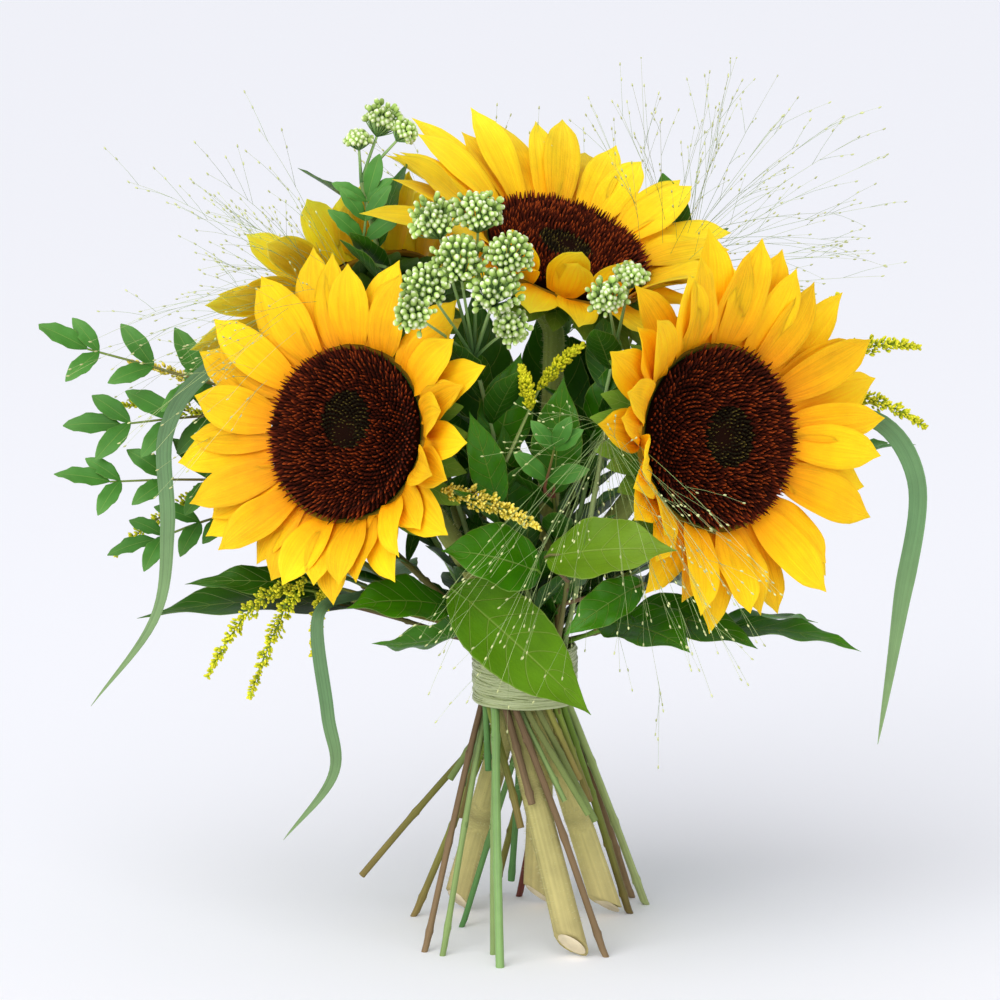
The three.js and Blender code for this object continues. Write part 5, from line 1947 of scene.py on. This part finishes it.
SPRIGS = (
    Sprig("broad_leaf_front", LEAF_STALK, leaves=(
        Leaf((6, -60, 174), (-36, -74, 186), (0.1, -0.75, 0.65), 32, 4),
        # The lower front leaf takes the lighter copy of the leaf colours: painted light.
        Leaf((-32, -46, 166), (28, -58, 112), (0.1, -0.95, 0.3), 35, 5, PAINTED_LIT_LEAF))),
    Sprig("broad_leaf_front_right", BROWN_STALK, leaves=(
        Leaf((8, -78, 184), (62, -108, 192), (0.05, -0.8, 0.6), 29, 4, OLIVE_LEAF),
        Leaf((50, -60, 170), (16, -66, 148), (-0.2, -0.9, 0.4), 18, 3))),
    Sprig("broad_leaf_front_left", LEAF_STALK, leaves=(
        Leaf((-32, -42, 156), (-76, -66, 160), (-0.1, -0.6, 0.8), 28, 4),
        Leaf((-22, -34, 146), (-66, -52, 142), (-0.1, 0.6, 0.8), 26, -3))),
    Sprig("broad_leaf_right", LEAF_STALK, leaves=(
        Leaf((36, -26, 146), (70, -62, 140), (0.2, -0.6, 0.8), 34, 4),
        Leaf((46, -24, 150), (100, -44, 138), (0.1, -0.5, 0.85), 30, 5))),
    Sprig("broad_leaf_right_low", BROWN_STALK, leaves=(
        Leaf((82, -6, 138), (146, -30, 134), (0.3, -0.3, 0.9), 22, 5),
        Leaf((80, -4, 138), (132, 26, 136), (0.2, 0.2, 0.95), 26, 4))),
    Sprig("long_leaf_left", BROWN_STALK, leaf_finish=DARK_LEAF, leaves=(
        Leaf((-74, -12, 150), (-170, -16, 146), (0, -0.25, 0.97), 34, 5),
        Leaf((-84, -16, 158), (-148, -26, 163), (0, -0.6, 0.8), 18, 4),
        Leaf((-68, -4, 150), (-130, 34, 142), (-0.2, 0.2, 0.95), 28, 5))),
    Sprig("broad_leaf_back_right", LEAF_STALK, leaf_finish=DARK_LEAF, leaves=(
        Leaf((54, 34, 152), (112, 44, 150), (0.2, 0, 0.98), 32, 5),
        Leaf((50, 40, 148), (84, 88, 138), (0.2, 0.4, 0.9), 34, 5))),
    Sprig("broad_leaf_back", LEAF_STALK, leaves=(
        Leaf((14, 62, 154), (30, 114, 136), (0.1, 0.5, 0.86), 36, 5),
        Leaf((10, 60, 158), (-34, 106, 150), (-0.2, 0.5, 0.86), 34, 5))),
    Sprig("broad_leaf_back_left", LEAF_STALK, leaves=(
        Leaf((-64, 36, 152), (-116, 70, 146), (-0.3, 0.3, 0.9), 34, 5),
        Leaf((-60, 40, 152), (-72, 98, 148), (-0.1, 0.5, 0.87), 32, 5))),
    Sprig("bud_spray_front", BUD_STALK, side_leaves=13, side_size=(30.0, 14.0),
          leaves=(Leaf((-8, -32, 192), (-10, -42, 236), (0.2, -0.95, -0.1), 22, 4),
                  Leaf((-12, -38, 222), (-2, -40, 266), (-0.1, -0.95, 0.2), 24, 3)),
          buds=(BudHead((-38, -66, 324), 11), BudHead((-20, -70, 327), 11), BudHead((-7, -78, 310), 10),
                BudHead((-28, -76, 307), 12), BudHead((-13, -80, 295), 11), BudHead((-41, -78, 297), 10),
                BudHead((-46, -88, 287), 8), BudHead((-7, -72, 280), 8))),
    Sprig("bud_spray_right", BUD_STALK, side_leaves=13, side_size=(30.0, 14.0),
          leaves=(Leaf((28, -38, 228), (48, -46, 268), (-0.3, -0.9, 0.2), 20, 3),),
          buds=(BudHead((34, -70, 292), 9), BudHead((44, -60, 300), 7))),
    Sprig("bud_spray_top_left", BUD_STALK, side_leaves=14, side_size=(32.0, 14.0),
          leaves=(Leaf((-18, 12, 196), (-22, 18, 290), (0, -1, 0.1), 38, 4, DARK_LEAF),),
          buds=(BudHead((-62, -6, 362), 9), BudHead((-72, -8, 354), 5.5), BudHead((-53, -8, 357), 5.5))),
    Sprig("bud_spray_back_right", BUD_STALK, side_leaves=20, side_size=(38.0, 18.0),
          buds=(BudHead((30, 68, 282), 11), BudHead((46, 62, 270), 9), BudHead((16, 72, 266), 9),
                BudHead((38, 78, 258), 9))),
    Sprig("bud_spray_back", BUD_STALK, side_leaves=10, side_size=(32.0, 14.0),
          buds=(BudHead((-68, 90, 222), 9), BudHead((-54, 94, 214), 9), BudHead((-84, 80, 212), 8))),
    Sprig("goldenrod_left_low", GOLD_STALK, side_leaves=4, side_size=(26.0, 7.0), plumes=(
        Plume((-102, -32, 163), (-138, -42, 124), 9), Plume((-96, -34, 166), (-120, -40, 114), 5),
        Plume((-88, -30, 160), (-92, -38, 134), 2, 3.6)), straps=(
        Strap(((-70, -30, 160), (-88, -60, 156), (-84, -70, 116), (-82, -66, 88), (-104, -62, 58)),
              (-0.2, -1, 0), 6),)),
    Sprig("goldenrod_left", BROWN_STALK, side_leaves=8, side_size=(30.0, 7.0), plumes=(
        Plume((-128, 44, 230), (-178, 42, 252), 4, 3.8, GOLD_ORANGE),
        Plume((-122, 44, 218), (-184, 46, 232), 5, 3.8), Plume((-124, 42, 196), (-186, 36, 164), 8))),
    Sprig("goldenrod_centre", PALE_STALK, side_leaves=11, side_size=(32.0, 12.0),
          leaves=(Leaf((-12, -52, 202), (-24, -64, 244), (0.1, -0.95, 0.3), 16, 3),),
          plumes=(Plume((-34, -62, 210), (6, -78, 196), 2, 5.4),
                  Plume((2, -50, 244), (-2, -60, 262), 1, 3.6, GOLD_YELLOW),
                  Plume((6, -48, 252), (24, -50, 270), 2, 3.6, GOLD_YELLOW)),
          plume_finish=GOLD_ORANGE),
    Sprig("goldenrod_right", GOLD_STALK, side_leaves=8, side_size=(30.0, 7.0), plumes=(
        Plume((134, 14, 256), (174, 12, 262), 4), Plume((134, 14, 240), (178, 12, 226), 5),
        Plume((122, 16, 262), (138, 20, 284), 2, 3.6)), straps=(
        Strap(((112, 10, 216), (150, 6, 232), (172, 2, 204), (166, 0, 150), (157, 0, 86)),
              (0.3, -0.95, 0.1), 9, 1.1),)),
    Sprig("goldenrod_back", BROWN_STALK, side_leaves=7, side_size=(30.0, 7.0), plumes=(
        Plume((-26, 94, 222), (-52, 126, 214), 7), Plume((-30, 92, 210), (-46, 122, 188), 6),
        Plume((-26, 86, 216), (-34, 100, 246), 2))),
    Sprig("pistacia_left_upper", RUSSET_STALK, fronds=(
        Frond((-126, 32, 238), (-194, 24, 260), (0, -0.8, 0.6), 3, 2, 26),
        Frond((-122, 28, 230), (-180, 26, 226), (0, -0.8, 0.6), 3, 2, 27))),
    Sprig("pistacia_left_lower", RUSSET_STALK, fronds=(
        Frond((-122, 24, 200), (-184, 14, 202), (0, -0.7, 0.7), 3, 2, 26),
        Frond((-118, 22, 188), (-164, 14, 176), (0, -0.6, 0.8), 3, 3, 24))),
    Sprig("pistacia_top_left", GREEN_STALK, side_leaves=12, side_size=(28.0, 12.0),
          fronds=(Frond((-70, -16, 304), (-68, -16, 330), (0, -0.8, 0.6), 3, 2, 20),)),
    Sprig("pistacia_centre", RED_STALK, side_leaves=10, side_size=(32.0, 14.0),
          leaves=(Leaf((12, -44, 206), (16, -56, 258), (-0.1, -0.95, 0.3), 22, 3),),
          fronds=(Frond((8, -50, 208), (12, -70, 230), (0, -0.95, 0.3), 2, 1, 20),)),
    Sprig("pistacia_back", RUSSET_STALK, side_leaves=12, side_size=(34.0, 15.0), fronds=(
        Frond((92, 44, 198), (152, 50, 210), (0.2, 0.3, 0.9), 3, 3, 26),
        Frond((84, 52, 192), (116, 104, 200), (0.2, 0.3, 0.9), 3, 3, 26))),
    Sprig("grass_left", GRASS, straps=(
        Strap(((-70, 2, 280), (-110, 2, 268), (-142, 12, 250), (-158, 8, 224), (-156, -12, 186),
               (-160, -34, 150), (-188, -40, 112)),
              (-0.3, -0.9, 0.2), 7.5),),
          panicle=Panicle((-96, -4, 288), (-0.93, -0.05, 0.36), 112, 16, 44, 5)),
    Sprig("grass_right", GRASS, side_leaves=14, side_size=(36.0, 16.0),
          leaves=(Leaf((18, 28, 200), (8, 36, 284), (0, -1, 0.1), 34, 4, DARK_LEAF),),
          panicle=Panicle((78, 50, 310), (0.5, 0.08, 0.86), 126, 14, 16, 6)),
    Sprig("grass_front", GRASS, panicle=Panicle((32, -92, 236), (0.02, -0.42, -0.9), 112, 15, 26, 7, 2.1)),
    Sprig("grass_back", GRASS, panicle=Panicle((-14, 80, 306), (-0.1, 0.6, 0.8), 100, 8, 26, 8)),
)


@dataclass(frozen=True)
class Lamp:
    """One soft lamp, in metres and watts, that looks at the bunch."""

    name: str
    place: Point
    power: float
    size: float

    def hang(self, aim: Point) -> None:
        """Hangs the lamp in its place.

        Args:
            aim: What it looks at.
        """
        data = bpy.data.lights.new(self.name, "AREA")
        data.energy = self.power
        data.size = self.size
        lamp = bpy.data.objects.new(self.name, data)
        lamp.location = self.place
        away = array(self.place) - array(aim)
        lamp.rotation_euler = (math.acos(unit(away)[2]), 0, math.atan2(away[1], away[0]) + math.pi / 2)
        bpy.context.scene.collection.objects.link(lamp)


@dataclass
class Studio:
    """The pale floor and backdrop, the soft lights and the photograph's camera."""

    distance: float = 1.6
    elevation: float = 9.0
    lens: float = 130.9
    aim: Point = (-11.0, 0.0, 196.0)
    floor_colour: str = "f7f7fb"
    floor_reach: float = 60.0
    backdrop_colour: str = "f2f4fa"
    backdrop_power: float = 0.62
    day_power: float = 1.9
    day_softness: float = 75.0
    day_turn: Tuple[float, float] = (48.0, -28.0)
    lamps: Tuple[Lamp, ...] = (
        Lamp("key", (-1.3, -2.1, 1.5), 10.0, 1.2),
        Lamp("fill", (1.7, -1.9, 0.6), 8.0, 1.4),
        Lamp("low_fill", (-1.6, -1.5, 0.12), 7.0, 1.4),
    )
    lamp_aim: Point = (0.0, 0.0, 0.2)

    def camera(self) -> None:
        """Puts the camera at the photograph's viewing angle."""
        target = (array(self.aim) + axis_offset()) * MM
        slope = math.radians(self.elevation)
        data = bpy.data.cameras.new("photo_camera")
        data.lens = self.lens
        data.sensor_width = 36
        camera = bpy.data.objects.new("photo_camera", data)
        camera.location = target + self.distance * array((0, -math.cos(slope), math.sin(slope)))
        camera.rotation_euler = (math.pi / 2 - slope, 0, 0)
        bpy.context.scene.collection.objects.link(camera)
        bpy.context.scene.camera = camera

    def floor(self) -> None:
        """Lays the pale floor."""
        mesh = bmesh.new()
        bmesh.ops.create_grid(mesh, x_segments=2, y_segments=2, size=self.floor_reach)
        data = bpy.data.meshes.new("floor")
        mesh.to_mesh(data)
        mesh.free()
        floor = bpy.data.objects.new("floor", data)
        material = bpy.data.materials.new("pale_floor")
        material.use_nodes = True
        shader = material.node_tree.nodes["Principled BSDF"]
        shader.inputs["Base Color"].default_value = hexed(self.floor_colour)
        shader.inputs["Roughness"].default_value = 0.9
        data.materials.append(material)
        bpy.context.scene.collection.objects.link(floor)

    def light(self) -> None:
        """Sets up the backdrop, the soft daylight and the lamps."""
        scene = bpy.context.scene
        scene.view_settings.view_transform = "Standard"
        world = bpy.data.worlds.new("studio")
        scene.world = world
        world.use_nodes = True
        background = world.node_tree.nodes["Background"]
        background.inputs[0].default_value = hexed(self.backdrop_colour)
        background.inputs[1].default_value = self.backdrop_power
        sun = bpy.data.lights.new("soft_day", "SUN")
        sun.energy = self.day_power
        sun.angle = math.radians(self.day_softness)
        day = bpy.data.objects.new("soft_day", sun)
        tilt, turn = (math.radians(angle) for angle in self.day_turn)
        day.rotation_euler = (tilt, 0, turn)
        scene.collection.objects.link(day)
        for lamp in self.lamps:
            lamp.hang(self.lamp_aim)


def main() -> None:
    """Builds every piece in order."""
    logging.basicConfig(level=logging.INFO)
    studio = Studio()
    studio.camera()
    studio.floor()
    studio.light()
    spiral = Spiral()
    for bloom in BLOOMS:
        bloom.petals()
        bloom.disc()
        bloom.stem(spiral)
    RaffiaTie().build()
    for sprig in SPRIGS:
        sprig.build(spiral)
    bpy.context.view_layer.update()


if __name__ == "__main__":
    main()
